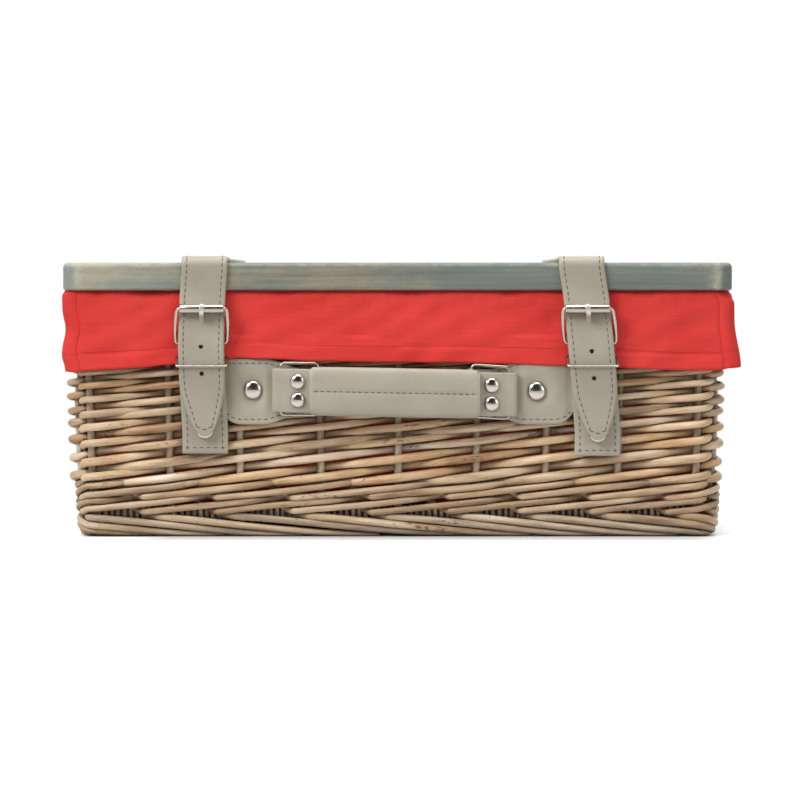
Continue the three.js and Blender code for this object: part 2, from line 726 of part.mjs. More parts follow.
function buildStraps() {
  const half = strapWidth / 2;
  const taperTop = tongueTip + tongueTaper;
  const taperPull = tongueTip + tongueTaper / 2;
  const outline = new THREE.Shape();
  outline.moveTo(-half, lidStrapTop + gap);
  outline.lineTo(-half, taperTop);
  outline.quadraticCurveTo(-half, taperPull, -tipRound, tongueTip + tipRound / 3);
  outline.quadraticCurveTo(0, tongueTip - tipRound / 3, tipRound, tongueTip + tipRound / 3);
  outline.quadraticCurveTo(half, taperPull, half, taperTop);
  outline.lineTo(half, lidStrapTop + gap);
  const tongueFront = tongueBarY - strapThick;
  const mask = alongY(outline, tongueFront, 0);
  const prongHoleZ = lerp(barZ, rollerZ, 0.69);
  const punched = [1, 2].map((i) => pinAlongY(0, prongHoleZ - i * holePitch, holeRadius, tongueFront, 0));
  const prongSlot = acrossX(stripShape(prongLine(), prongThick + 2 * gap), prongWidth + 2 * gap);
  const strip = acrossX(stripShape(tongueLine, strapThick), strapWidth);
  const pointed = geometryOf(solidOf(strip).intersect(solidOf(mask)));
  const tongue = cut(pointed, ...punched, prongSlot);

  const eye = new THREE.Shape();
  eye.absarc(barY, barZ, eyeRadius, 0, 2 * Math.PI);
  const barBore = new THREE.Shape();
  barBore.absarc(barY, barZ, wireRadius + gap, 0, 2 * Math.PI);
  const slotSize = 4 * eyeRadius;
  const slot = new THREE.BoxGeometry(prongWidth + 2 * leatherRoom, slotSize, slotSize);
  slot.translate(0, barY, barZ - eyeRadius - eyeWall + slotSize / 2);
  const upright = acrossX(stripShape(buckleStrapLine, buckleStrapThick), strapWidth);
  const plate = join(upright, acrossX(eye, strapWidth));
  const rivetHole = pinAlongY(0, buckleRivetZ, boreRadius, barY, 0);
  const buckleStrap = cut(plate, acrossX(barBore, 2 * strapWidth), slot, rivetHole);

  const prong = acrossX(stripShape(prongLine(), prongThick), prongWidth);

  const reach = Math.hypot(rollerY - barY, rollerZ - barZ);
  const frameUp = new THREE.Vector3(0, rollerY - barY, rollerZ - barZ).divideScalar(reach);
  const frameFace = axisX.clone().cross(frameUp);
  const foot = new THREE.Vector3(0, barY, barZ);
  const onFrame = (x, rise) => foot.clone().addScaledVector(frameUp, rise).setX(x);
  const topHalf = rollerLength / 2 + 0.75 * frameCorner;
  const frame = wireLoop(roundedLoop([
    [-frameHalfFoot, 0], [frameHalfFoot, 0], [frameHalfTop, 0.55 * reach],
    [topHalf, reach], [-topHalf, reach], [-frameHalfTop, 0.55 * reach],
  ], frameCorner, onFrame), frameFace, wireRadius);

  const tube = [[wireRadius + gap, -1], [rollerRadius, -1], [rollerRadius, 1], [wireRadius + gap, 1]];
  const tubeProfile = [...tube, tube[0]].map(([r, end]) => new THREE.Vector2(r, (end * rollerLength) / 2));
  const roller = new THREE.LatheGeometry(tubeProfile, 10).rotateZ(-Math.PI / 2);
  roller.translate(0, rollerY, rollerZ);

  const keeperFront = tongueYAt(keeperFrontZ) - strapThick / 2 - gap - keeperWire;
  const keeperRear = barY + buckleStrapThick / 2 + gap + keeperWire;
  const slopeUp = new THREE.Vector3(0, keeperRear - keeperFront, keeperRearZ - keeperFrontZ);
  const keeperDeep = slopeUp.length();
  slopeUp.normalize();
  const front = new THREE.Vector3(0, keeperFront, keeperFrontZ);
  const onKeeper = (x, depth) => front.clone().addScaledVector(slopeUp, depth).setX(x);
  const keeper = wireLoop(roundedLoop([
    [-keeperHalf, 0], [keeperHalf, 0], [keeperHalf, keeperDeep], [-keeperHalf, keeperDeep],
  ], keeperCorner, onKeeper), axisX.clone().cross(slopeUp), keeperWire);

  const leatherPieces = { strap_tongue: tongue, buckle_strap: buckleStrap };
  const wirePieces = {
    buckle_frame: frame,
    buckle_roller: roller,
    buckle_prong: prong,
    strap_keeper: keeper,
  };
  straps.forEach((strap) => {
    [[leatherPieces, leather], [wirePieces, chrome]].forEach(([pieces, material]) => {
      Object.entries(pieces).forEach(([piece, geometry]) => {
        addMesh(`${strap.side}_${piece}`, leaned(geometry.clone(), strap), material);
      });
    });
  });

  const hingeLine = smooth([
    [hingeY, hingeSplit],
    [skirtBack + wallRoom, lerp(hingeSplit, hemZ, 0.5)],
    [skirtBack, hemZ],
    [lerp(wallBack, skirtBack, 0.2), lerp(hemZ, hingeRivetZ, 0.6)],
    [wallBack, hingeRivetZ],
    [wallBack, hingeStrapEnd],
  ], 14);
  const hingeHole = pinAlongY(0, hingeRivetZ, boreRadius, 0, lidDepth);
  const hinge = cut(acrossX(stripShape(hingeLine, strapThick), strapWidth), hingeHole);
  straps.forEach(({ side, x }) => addMesh(`${side}_hinge_strap`, hinge.clone().translate(x, 0, 0), leather));
}

function tongueYAt(z) {
  const i = tongueLine.findIndex((point) => point.y < z);
  const [above, below] = [tongueLine[i - 1], tongueLine[i]];
  return THREE.MathUtils.mapLinear(z, above.y, below.y, above.x, below.x);
}

// Rivets that hold leather to the walls, with their tails inside the wall
function buildWallRivets() {
  frontRivets.forEach(({ name, x, z, seat }) => {
    const inside = -(bodyHalfY(z) - wallThick) + tailRoom;
    addMesh(name, rivet(wallHeadRadius, headHeight, inside - seat, true).translate(x, seat, z), chrome);
  });
  const seat = wallBack + strapThick / 2 + gap;
  backRivets.forEach(({ name, x, z }) => {
    const inside = bodyHalfY(z) - wallThick - tailRoom;
    const turned = rivet(wallHeadRadius, headHeight, seat - inside, true).rotateX(Math.PI);
    addMesh(name, turned.translate(x, seat, z), chrome);
  });
}

// The handle: tabs and rings on the wall, a strap looped round the rings, and a grip sleeved on the strap
function buildHandle() {
  const ease = loopCorner;
  const halfSide = [
    [flapEnd, flapFront], [handleRivetX + 2 * boreRadius, flapFront],
    [slotInner + 2 * loopLeather, coreFront], [loopEnd - ease, coreFront],
    [loopEnd, coreFront + ease], [loopEnd, loopRear - ease],
    [loopEnd - ease, loopRear], [slotInner, loopRear], [handleRivetX + boreRadius, coreRear],
  ];
  const mirrored = halfSide.map(([x, y]) => [-x, y]).reverse();
  const core = [[-flapEnd, coreFront], [flapEnd, coreFront]];
  const corners = [...mirrored, ...core, ...halfSide];
  const strapPlan = new THREE.Shape(corners.map(([x, y]) => new THREE.Vector2(x, y)));
  const slots = [-1, 1].map((way) => {
    const slot = new THREE.BoxGeometry(slotOuter - slotInner, slotRear - slotFront, 2 * flapHeight);
    return slot.translate((way * (slotOuter + slotInner)) / 2, ringOuterY, 0);
  });
  const rise = flapHeight / 2;
  const rises = [handleRivetRise, -handleRivetRise];
  const rivetSpots = [-handleRivetX, handleRivetX].flatMap((x) => rises.map((z) => [x, z]));
  const rivetHoles = rivetSpots.map(([x, z]) => pinAlongY(x, z, boreRadius, gripFront, tabRear));
  const narrowing = [-1, 1].map((way) => {
    const margin = new THREE.BoxGeometry(2 * flapEnd, 4 * gripThick, flapHeight);
    return margin.translate(0, coreRear, (way * (coreHeight + flapHeight)) / 2);
  });
  const handleStrap = cut(upZ(strapPlan, -rise, rise), ...slots, ...narrowing, ...rivetHoles);
  const place = (geometry) => geometry.translate(handleX, 0, handleZ);
  addMesh('handle_strap', place(handleStrap), leather);

  const section = roundedBox(gripThick / 2 - gripEase, gripHeight / 2 - gripEase, gripCorner);
  const sleeve = new THREE.ExtrudeGeometry(section, {
    depth: 2 * (gripHalf - gripEase),
    bevelThickness: gripEase,
    bevelSize: gripEase,
    bevelSegments: 2,
    curveSegments: 3,
  }).translate(0, 0, -(gripHalf - gripEase));
  sleeve.applyMatrix4(new THREE.Matrix4().makeBasis(axisY, axisZ, axisX));
  sleeve.translate(0, (gripRear + gripFront) / 2, 0);
  const tunnel = new THREE.BoxGeometry(4 * gripHalf, loopLeather + 2 * gap, coreHeight + 2 * gap);
  tunnel.translate(0, (coreRear + coreFront) / 2, 0);
  addMesh('handle_grip', place(cut(sleeve, tunnel)), leather);

  rivetSpots.forEach(([x, z]) => {
    const seat = flapFront - gap / 2;
    const stem = rivet(handleHeadRadius, headHeight, coreRear - seat, false);
    const name = `${x < 0 ? 'left' : 'right'}_handle_rivet_${z > 0 ? 'upper' : 'lower'}`;
    addMesh(name, place(stem.translate(x, seat, z)), chrome);
  });

  const [tall, narrow] = [tabHeight / 2, tabEyeHeight / 2];
  const neckEnd = ringInner + tabEye + tabCorner;
  const shoulder = ringOuter + tabCorner;
  const waist = (neckEnd + shoulder) / 2;
  const outline = new THREE.Shape();
  outline.moveTo(ringInner - 2 * tabEye, -narrow);
  outline.lineTo(neckEnd, -narrow);
  outline.bezierCurveTo(waist, -narrow, waist, -tall, shoulder, -tall);
  outline.lineTo(tabEnd - tabCorner, -tall);
  outline.quadraticCurveTo(tabEnd, -tall, tabEnd, tabCorner - tall);
  outline.lineTo(tabEnd, tall - tabCorner);
  outline.quadraticCurveTo(tabEnd, tall, tabEnd - tabCorner, tall);
  outline.lineTo(shoulder, tall);
  outline.bezierCurveTo(waist, tall, waist, narrow, neckEnd, narrow);
  outline.lineTo(ringInner - 2 * tabEye, narrow);
  const mask = alongY(outline, tabFront - 3 * tabEye, 0);

  const tabPlan = new THREE.Shape([[tabEnd, tabRear], [tabEnd, tabFront], [ringInner, tabFront],
    [ringInner, tabRear]].map(([x, y]) => new THREE.Vector2(x, y)));
  const eye = new THREE.Shape();
  eye.absarc(ringInner, ringInnerY, tabEye, 0, 2 * Math.PI);
  const bore = new THREE.Shape();
  bore.absarc(ringInner, ringInnerY, ringWire + gap, 0, 2 * Math.PI);
  const plate = join(upZ(tabPlan, -tall, tall), upZ(eye, -tall, tall));
  const trimmed = geometryOf(solidOf(plate).intersect(solidOf(mask)));
  const rivetHole = pinAlongY(tabRivetX, 0, boreRadius, tabFront - tabThick, 0);
  const tab = cut(trimmed, upZ(bore, -tabHeight, tabHeight), rivetHole);

  [['left', -1], ['right', 1]].forEach(([side, way]) => {
    const innerBar = new THREE.Vector3(way * ringInner, ringInnerY, 0);
    const outerBar = new THREE.Vector3(way * ringOuter, ringOuterY, 0);
    const across = outerBar.clone().sub(innerBar);
    const span = across.length();
    across.normalize();
    const onRing = (along, z) => innerBar.clone().addScaledVector(across, along).setZ(z);
    const loop = roundedLoop([
      [0, -ringHeight / 2], [span, -ringHeight / 2], [span, ringHeight / 2], [0, ringHeight / 2],
    ], ringCorner, onRing);
    const ring = wireLoop(loop, across.clone().cross(axisZ), ringWire);
    addMesh(`${side}_handle_ring`, place(ring), chrome);
    const turned = way > 0 ? tab.clone() : tab.clone().rotateY(Math.PI);
    addMesh(`${side}_handle_tab`, place(turned), leather);
  });
}

buildBody();
buildLining();
buildLid();
buildStraps();
buildWallRivets();
buildHandle();

export default hamper;
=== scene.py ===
import math
import random

import bmesh
import bpy
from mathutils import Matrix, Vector


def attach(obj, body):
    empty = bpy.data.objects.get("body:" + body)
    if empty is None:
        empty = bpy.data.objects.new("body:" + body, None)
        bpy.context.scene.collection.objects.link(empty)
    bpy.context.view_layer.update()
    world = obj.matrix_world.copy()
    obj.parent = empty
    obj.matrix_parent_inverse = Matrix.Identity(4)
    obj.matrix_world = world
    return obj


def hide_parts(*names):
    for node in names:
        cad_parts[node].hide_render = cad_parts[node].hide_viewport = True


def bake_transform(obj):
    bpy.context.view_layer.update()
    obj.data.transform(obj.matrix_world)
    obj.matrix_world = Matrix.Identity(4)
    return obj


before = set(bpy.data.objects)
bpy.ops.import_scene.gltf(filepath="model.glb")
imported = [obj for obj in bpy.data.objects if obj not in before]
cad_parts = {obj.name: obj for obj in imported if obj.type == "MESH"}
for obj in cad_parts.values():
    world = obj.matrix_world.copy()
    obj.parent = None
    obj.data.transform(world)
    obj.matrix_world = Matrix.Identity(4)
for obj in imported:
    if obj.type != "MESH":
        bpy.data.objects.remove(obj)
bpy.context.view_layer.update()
print("frame loaded:", len(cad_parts), "nodes")

mm = 0.001
shiftY = 5.2  # the basket's middle stands this far behind the frame's, in mm
acrossX, outTop = Vector((1, 0, 0)), Vector((0, 0, 1))
outFront, outBack = Vector((0, -1, 0)), Vector((0, 1, 0))
pair = {"left": -1, "right": 1}


def spot(x, y, z):  # a place given in mm
    return Vector((x * mm, (y + shiftY) * mm, z * mm))


def mixed(a, b, t):
    return a + (b - a) * t


def eased(t):
    t = min(max(t, 0.0), 1.0)
    return t * t * (3 - 2 * t)


def hump(x, width):
    return math.exp(-(x / width) ** 2)


def arc(steps, start=0.0, turn=math.pi / 2):  # angles from start through a turn
    return [start + turn * k / steps for k in range(steps + 1)]


def turns(count):  # angles all the way round
    return [2 * math.pi * k / count for k in range(count)]


def roundPoints(x, y, radius, angles):  # places on a circle
    return [(x + radius * math.cos(a), y + radius * math.sin(a)) for a in angles]


def tableAt(table, place, shape=lambda t: min(max(t, 0.0), 1.0)):  # a value between rising places
    for (a, valueA), (b, valueB) in zip(table, table[1:]):
        if place <= b:
            return mixed(valueA, valueB, shape((place - a) / (b - a)))
    return table[-1][1]


def smoothLine(rows, step=None, count=None):  # a smooth line through rows of numbers, by length or count
    rows = [Vector(row) for row in rows]
    line = []
    for i, b in enumerate(rows[:-1]):
        a, c, d = rows[max(i - 1, 0)], rows[i + 1], rows[min(i + 2, len(rows) - 1)]
        steps = count or max(1, round((c - b).length / step))
        for t in (k / steps for k in range(steps)):
            bow = (2 * a - 5 * b + 4 * c - d) * t * t + (3 * b - a - 3 * c + d) * t ** 3
            line.append(0.5 * (2 * b + (c - a) * t + bow))
    return line + [rows[-1]]


def stepsOf(line):  # each point with the step from the one before it to the one after it
    for i, point in enumerate(line):
        before, after = line[max(i - 1, 0)], line[min(i + 1, len(line) - 1)]
        yield point, after[0] - before[0], after[1] - before[1]


def newObject(name, data):
    piece = bpy.data.objects.new(name, data)
    bpy.context.scene.collection.objects.link(piece)
    return piece


def meshObject(name, points, faces, finish, smooth=True):
    mesh = bpy.data.meshes.new(name)
    mesh.from_pydata([tuple(p) for p in points], [], faces)
    mesh.polygons.foreach_set("use_smooth", [smooth] * len(mesh.polygons))
    mesh.materials.append(finish)
    return newObject(name, mesh)


def faceOutward(piece, floorUp=False):
    work = bmesh.new()
    work.from_mesh(piece.data)
    bmesh.ops.recalc_face_normals(work, faces=work.faces)
    work.faces.ensure_lookup_table()
    if floorUp and work.faces[-1].normal.z < 0:  # an open bag, its last face is the floor
        bmesh.ops.reverse_faces(work, faces=work.faces)
    work.to_mesh(piece.data)
    work.free()


def solid(name, points, faces, finish, smooth=True):
    piece = meshObject(name, points, faces, finish, smooth)
    faceOutward(piece)
    return piece


def lofted(rings, capped=True):  # points and faces of a skin over closed rings
    count = len(rings[0])
    points = [p for ring in rings for p in ring]
    faces = []
    for first in range(0, len(points) - count, count):
        for k in range(count):
            a, b = first + k, first + (k + 1) % count
            faces.append((a, b, b + count, a + count))
    if capped:
        faces += [tuple(range(count - 1, -1, -1)), tuple(range(len(points) - count, len(points)))]
    return points, faces


def settle(piece):  # live modifiers become plain mesh
    graph = bpy.context.evaluated_depsgraph_get()
    mesh = bpy.data.meshes.new_from_object(piece.evaluated_get(graph))
    piece.modifiers.clear()
    piece.data = mesh
    return piece


def fasten(piece, body, slot, *nodes):
    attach(piece, body)
    if nodes:
        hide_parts(*nodes)


# colours and finishes

def tint(*rgb):  # a screen colour, none of them near black, as the shader's linear one
    return tuple(((c / 255 + 0.055) / 1.055) ** 2.4 for c in rgb) + (1,)


def shades(*stops):  # places and screen colours of a ramp
    return [(place, tint(*rgb)) for place, *rgb in stops]


def feed(tree, socket, value):  # a plain value, another socket, or a node's first output
    if isinstance(value, bpy.types.Node):
        value = value.outputs[0]
    if isinstance(value, bpy.types.NodeSocket):
        tree.links.new(value, socket)
    else:
        socket.default_value = value


def addNode(tree, kind, inputs=None, **settings):
    node = tree.nodes.new(kind)
    for key, value in settings.items():
        setattr(node, key, value)
    for key, value in (inputs or {}).items():
        feed(tree, node.inputs[key], value)
    return node


def newFinish(name):
    finish = bpy.data.materials.new(name)
    finish.use_nodes = True
    return finish, finish.node_tree


def dress(finish, **sockets):
    tree = finish.node_tree
    for key, value in sockets.items():
        feed(tree, tree.nodes["Principled BSDF"].inputs[key.replace("_", " ")], value)
    return finish


def addMath(tree, operation, *values):
    return addNode(tree, "ShaderNodeMath", dict(enumerate(values)), operation=operation)


def scaled(tree, value, factor, plus=0.0):
    return addMath(tree, "MULTIPLY_ADD", value, factor, plus)


def limited(tree, value, most):
    return addNode(tree, "ShaderNodeClamp", {"Value": value, "Max": most})


def ranged(tree, value, low, high, to=(0.0, 1.0), kind="SMOOTHSTEP"):
    inputs = {"Value": value, "From Min": low, "From Max": high, "To Min": to[0], "To Max": to[1]}
    return addNode(tree, "ShaderNodeMapRange", inputs, interpolation_type=kind)


def splitUp(tree, vector):
    return addNode(tree, "ShaderNodeSeparateXYZ", {0: vector}).outputs


def lengthOf(tree, vector):
    return addNode(tree, "ShaderNodeVectorMath", {0: vector}, operation="LENGTH").outputs["Value"]


def attribute(tree, name, output="Fac"):
    return addNode(tree, "ShaderNodeAttribute", attribute_name=name).outputs[output]


def objectPlace(tree):
    return addNode(tree, "ShaderNodeTexCoord").outputs["Object"]


def addMapping(tree, place, location=(0, 0, 0), scale=(1, 1, 1)):
    return addNode(tree, "ShaderNodeMapping", {"Vector": place, "Location": location, "Scale": scale})


def addNoise(tree, place, scale=1.0, detail=3.0, roughness=0.55):
    inputs = {"Vector": place, "Scale": scale, "Detail": detail, "Roughness": roughness}
    return addNode(tree, "ShaderNodeTexNoise", inputs)


def addBump(tree, height, strength, distance):
    return addNode(tree, "ShaderNodeBump", {"Height": height, "Strength": strength, "Distance": distance})


def addMix(tree, fac, a, b, blend="MIX"):
    inputs = {0: fac, 6: a, 7: b}
    return addNode(tree, "ShaderNodeMix", inputs, data_type="RGBA", blend_type=blend).outputs[2]


def addRamp(tree, source, stops):
    node = addNode(tree, "ShaderNodeValToRGB", {"Fac": source})
    elements = node.color_ramp.elements
    while len(elements) < len(stops):
        elements.new(0.5)
    for element, (place, colour) in zip(elements, stops):
        element.position = place
        element.color = colour
    return node


willowLook = {
    "honey": shades((0.0, 104, 76, 52), (0.25, 174, 135, 97), (0.5, 218, 178, 133), (0.75, 240, 210, 170),
                    (1.0, 252, 240, 222)),
    "pale": shades((0.0, 104, 87, 71), (0.25, 168, 147, 124), (0.5, 210, 186, 155), (0.75, 235, 217, 191),
                   (1.0, 252, 245, 234)),
    "stake": shades((0.0, 116, 101, 85), (0.4, 176, 157, 136), (0.75, 210, 189, 163), (1.0, 235, 219, 198)),
    "border": shades((0.0, 78, 60, 46), (0.25, 140, 114, 86), (0.5, 183, 148, 110), (0.75, 210, 178, 142),
                     (1.0, 232, 212, 184)),
    # wash is the colour of the painted shade between the rods, gap how far the occlusion looks
    "speck": tint(52, 39, 31), "speckMost": 0.68, "wash": tint(58, 42, 33), "gap": 0.009, "roughness": 0.29,
    # noises by how fine they are lengthwise and around, and how detailed
    "patches": (0.03, 0.5, 3.0), "streaks": (0.07, 4.2, 5.0), "knots": (0.021, 0.3, 1.0),
    "specks": (0.3, 2.6, 1.0),
}


def willowFinish(name, ownShades, otherShades):
    finish, tree = newFinish(name)
    tone, along = attribute(tree, "tone"), attribute(tree, "along")
    skin = splitUp(tree, attribute(tree, "skin", "Vector"))
    start = scaled(tree, tone, 91.0)  # each rod has bark of its own

    def barkNoise(key):
        lengthwise, around, detail = willowLook[key]
        rows = [scaled(tree, along, lengthwise, start)] + [scaled(tree, skin[k], around) for k in (0, 1)]
        return addNoise(tree, addNode(tree, "ShaderNodeCombineXYZ", dict(enumerate(rows))), 1.0, detail)

    patches, streaks = barkNoise("patches"), barkNoise("streaks")
    shade = scaled(tree, streaks, 0.6, scaled(tree, patches, 1.25, scaled(tree, tone, 0.26, -0.52)))
    kind = scaled(tree, addMath(tree, "FRACT", scaled(tree, tone, 7.3)), 0.9, -0.45)
    kind = scaled(tree, patches, 0.7, kind)
    colour = addMix(tree, kind, addRamp(tree, shade, ownShades), addRamp(tree, shade, otherShades))
    marks = scaled(tree, barkNoise("knots"), 0.9, barkNoise("specks"))  # specks gather round the knots
    marks = limited(tree, scaled(tree, marks, 16.0, -19.712), willowLook["speckMost"])
    colour = addMix(tree, marks, colour, willowLook["speck"])
    gapShade = addNode(tree, "ShaderNodeAmbientOcclusion", {"Distance": willowLook["gap"]}, samples=6)
    wash = ranged(tree, gapShade.outputs["AO"], 0.08, 0.64, (0.8, 0.0), "LINEAR")  # painted shade: darker where ambient occlusion finds rods close together
    return dress(finish, Base_Color=addMix(tree, wash, colour, willowLook["wash"], "MULTIPLY"),
                 Roughness=scaled(tree, streaks, 0.3, willowLook["roughness"]),
                 Normal=addBump(tree, streaks, 0.45, 0.0007))


woodLook = {
    "grey": shades((0.2, 84, 92, 88), (0.45, 116, 124, 117), (0.65, 138, 144, 135), (0.85, 166, 168, 155)),
    "beige": shades((0.2, 118, 108, 88), (0.5, 158, 147, 122), (0.8, 192, 182, 155)),
    "end": shades((0.2, 78, 92, 94), (0.8, 138, 150, 148)), "worn": tint(198, 194, 178), "roughness": 0.62,
    # noises by place, scale, detail and roughness
    "grain": ((0, 0, 0), (9, 330, 330), 6.0, 0.65), "bands": ((4, 2, 1), (4, 70, 110), 4.0, 0.6),
    "wash": ((3.1, 0.4, 0.2), (13, 22, 48), 4.0, 0.6), "spots": ((7, 5, 3), (170, 420, 420), 3.0, 0.6),
}


def woodFinish():
    finish, tree = newFinish("washedWood")
    where = addNode(tree, "ShaderNodeTexCoord").outputs

    def grainNoise(key):
        location, scale, detail, roughness = woodLook[key]
        return addNoise(tree, addMapping(tree, where["Object"], location, scale), 1.0, detail, roughness)

    grain, spots = grainNoise("grain"), grainNoise("spots")
    across = splitUp(tree, where["Object"])[0]
    paintedLitEnd = limited(tree, scaled(tree, across, -3.2, -0.28), 0.3)  # painted light: the left end is made paler, as if lit more strongly from the left
    shade = scaled(tree, grain, 0.55, scaled(tree, paintedLitEnd, 1.0, -0.02))
    shade = scaled(tree, grainNoise("bands"), 0.5, shade)
    grey, beige, endGrain = (addRamp(tree, shade, woodLook[key]) for key in ("grey", "beige", "end"))
    tinge = scaled(tree, grainNoise("wash"), 3.4, scaled(tree, paintedLitEnd, 1.6, -2.3))
    tinge = limited(tree, scaled(tree, spots, 1.3, tinge), 0.85)
    colour = addMix(tree, tinge, grey, beige)
    ends = ranged(tree, addMath(tree, "ABSOLUTE", across), 0.1955, 0.199, (0.0, 0.75))
    level = addMath(tree, "ABSOLUTE", splitUp(tree, where["Normal"])[2])
    ends = addMath(tree, "MULTIPLY", ends, scaled(tree, level, -1.0, 1.0))  # end grain on upright faces only
    colour = addMix(tree, ends, colour, endGrain)
    worn = addMath(tree, "MULTIPLY", attribute(tree, "worn"), scaled(tree, spots, 2.4, -0.6))
    return dress(finish, Base_Color=addMix(tree, limited(tree, worn, 0.9), colour, woodLook["worn"]),
                 Roughness=woodLook["roughness"], Normal=addBump(tree, grain, 0.35, 0.0006))


leatherLook = {
    "shades": shades((0.3, 171, 163, 146), (0.7, 184, 177, 160)), "pebble": 900.0, "roughness": 0.39,
}


def leatherFinish():
    finish, tree = newFinish("greigeLeather")
    place = objectPlace(tree)
    clouds = addNoise(tree, place, 38.0, 4.0)
    pebble = addNode(tree, "ShaderNodeTexVoronoi", {"Vector": place, "Scale": leatherLook["pebble"]})
    height = scaled(tree, addNoise(tree, place, 420.0), 0.8, pebble)
    return dress(finish, Base_Color=addRamp(tree, clouds, leatherLook["shades"]),
                 Roughness=scaled(tree, clouds, 0.16, leatherLook["roughness"]),
                 Normal=addBump(tree, height, 0.16, 0.0004))


cottonLook = {"shades": shades((0.3, 226, 62, 57), (0.7, 240, 75, 70)), "threads": 1500.0, "roughness": 0.85}


def cottonFinish():
    finish, tree = newFinish("redCotton")
    place = addNode(tree, "ShaderNodeUVMap", uv_map="cut")
    slubs = addNoise(tree, addMapping(tree, place, scale=(30, 900, 1)))
    shade = scaled(tree, slubs, 0.36, scaled(tree, addNoise(tree, place, 22.0, 4.0), 0.64))
    wave = {"Vector": place, "Scale": cottonLook["threads"] / 6.28}
    threads = [addNode(tree, "ShaderNodeTexWave", wave, bands_direction=way).outputs["Fac"] for way in "XY"]
    height = scaled(tree, slubs, 0.45, scaled(tree, addMath(tree, "MULTIPLY", *threads), 0.35))
    return dress(finish, Base_Color=addRamp(tree, shade, cottonLook["shades"]), Sheen_Weight=0.04,
                 Roughness=cottonLook["roughness"], Specular_IOR_Level=0.12,
                 Normal=addBump(tree, height, 0.3, 0.0004))


def metalFinish(name, colour, low, spread):
    finish, tree = newFinish(name)
    smears = scaled(tree, addNoise(tree, objectPlace(tree), 260.0), spread, low)
    return dress(finish, Base_Color=colour, Metallic=1.0, Roughness=smears)


def threadFinish(name, dark, pale):
    finish, tree = newFinish(name)
    twist = addNoise(tree, objectPlace(tree), 900.0, 2.0)
    return dress(finish, Base_Color=addRamp(tree, twist, shades((0.3, *dark), (0.7, *pale))), Roughness=0.8,
                 Normal=addBump(tree, twist, 0.4, 0.0002))


willow = willowFinish("honeyWillow", willowLook["honey"], willowLook["pale"])
stakeWillow = willowFinish("greyStakeWillow", willowLook["stake"], willowLook["pale"])
borderWillow = willowFinish("borderWillow", willowLook["border"], willowLook["stake"])
washedWood = woodFinish()
leather = leatherFinish()
cotton = cottonFinish()
chrome = metalFinish("polishedChrome", tint(190, 184, 175), 0.06, 0.14)
nickel = metalFinish("satinNickel", tint(178, 171, 160), 0.18, 0.16)
zinc = metalFinish("dullZinc", tint(206, 199, 186), 0.4, 0.14)
brownThread = threadFinish("brownThread", (88, 70, 65), (126, 106, 98))
redThread = threadFinish("redThread", (190, 44, 43), (216, 57, 54))
print("finishes ready")


# node trees for what repeats: rods and wires, stitches, rivets

def newTree(name, **inputs):
    tree = bpy.data.node_groups.new(name, "GeometryNodeTree")
    for label, kind in {"Geometry": "Geometry", **inputs, "Finish": "Material"}.items():
        tree.interface.new_socket(label, in_out="INPUT", socket_type="NodeSocket" + kind)
    tree.interface.new_socket("Geometry", in_out="OUTPUT", socket_type="NodeSocketGeometry")
    return tree, tree.nodes.new("NodeGroupInput").outputs


def endTree(tree, given, geometry):
    real = addNode(tree, "GeometryNodeRealizeInstances", {"Geometry": geometry})
    paint = addNode(tree, "GeometryNodeSetMaterial", {"Geometry": real, "Material": given["Finish"]})
    addNode(tree, "NodeGroupOutput", {"Geometry": paint})
    return tree


def stored(tree, name, kind="FLOAT_VECTOR"):
    node = addNode(tree, "GeometryNodeInputNamedAttribute", {"Name": name}, data_type=kind)
    return node.outputs["Attribute"]


def makeRodTree():
    tree, given = newTree("bent rods", Sides="Int")
    line = addNode(tree, "GeometryNodeMeshToCurve", {"Mesh": given["Geometry"]})
    ring = addNode(tree, "GeometryNodeCurvePrimitiveCircle", {"Resolution": given["Sides"], "Radius": 1.0})
    skin = {"Geometry": ring, "Name": "skin", "Value": addNode(tree, "GeometryNodeInputPosition")}
    skin = addNode(tree, "GeometryNodeStoreNamedAttribute", skin, data_type="FLOAT_VECTOR")
    girth = stored(tree, "girth", "FLOAT")
    tube = addNode(tree, "GeometryNodeCurveToMesh",
                   {"Curve": line, "Profile Curve": skin, "Scale": girth, "Fill Caps": True})
    corners = addNode(tree, "GeometryNodeInputMeshFaceNeighbors").outputs["Vertex Count"]
    wall = {"A": corners, "B": 5}  # faces of the wall have four corners, the caps more
    wall = addNode(tree, "FunctionNodeCompare", wall, data_type="INT", operation="LESS_THAN")
    smooth = addNode(tree, "GeometryNodeSetShadeSmooth", {"Geometry": tube, "Selection": wall})
    return endTree(tree, given, smooth)


def makeStitchTree():
    tree, given = newTree("sewn stitches", Pitch="Float", Size="Vector")
    line = addNode(tree, "GeometryNodeMeshToCurve", {"Mesh": given["Geometry"]})
    steps = {"Curve": line, "Length": given["Pitch"]}
    steps = addNode(tree, "GeometryNodeResampleCurve", steps, mode="LENGTH")
    tangent = addNode(tree, "GeometryNodeInputTangent")
    turn = {"Primary Axis": tangent, "Secondary Axis": stored(tree, "facing")}
    turn = addNode(tree, "FunctionNodeAxesToRotation", turn, primary_axis="X", secondary_axis="Z")
    bead = addNode(tree, "GeometryNodeMeshUVSphere", {"Segments": 8, "Rings": 5, "Radius": 1.0})
    bead = addNode(tree, "GeometryNodeSetShadeSmooth", {"Geometry": bead})
    return endTree(tree, given, addNode(tree, "GeometryNodeInstanceOnPoints", {
        "Points": steps, "Instance": bead, "Rotation": turn, "Scale": given["Size"]}))


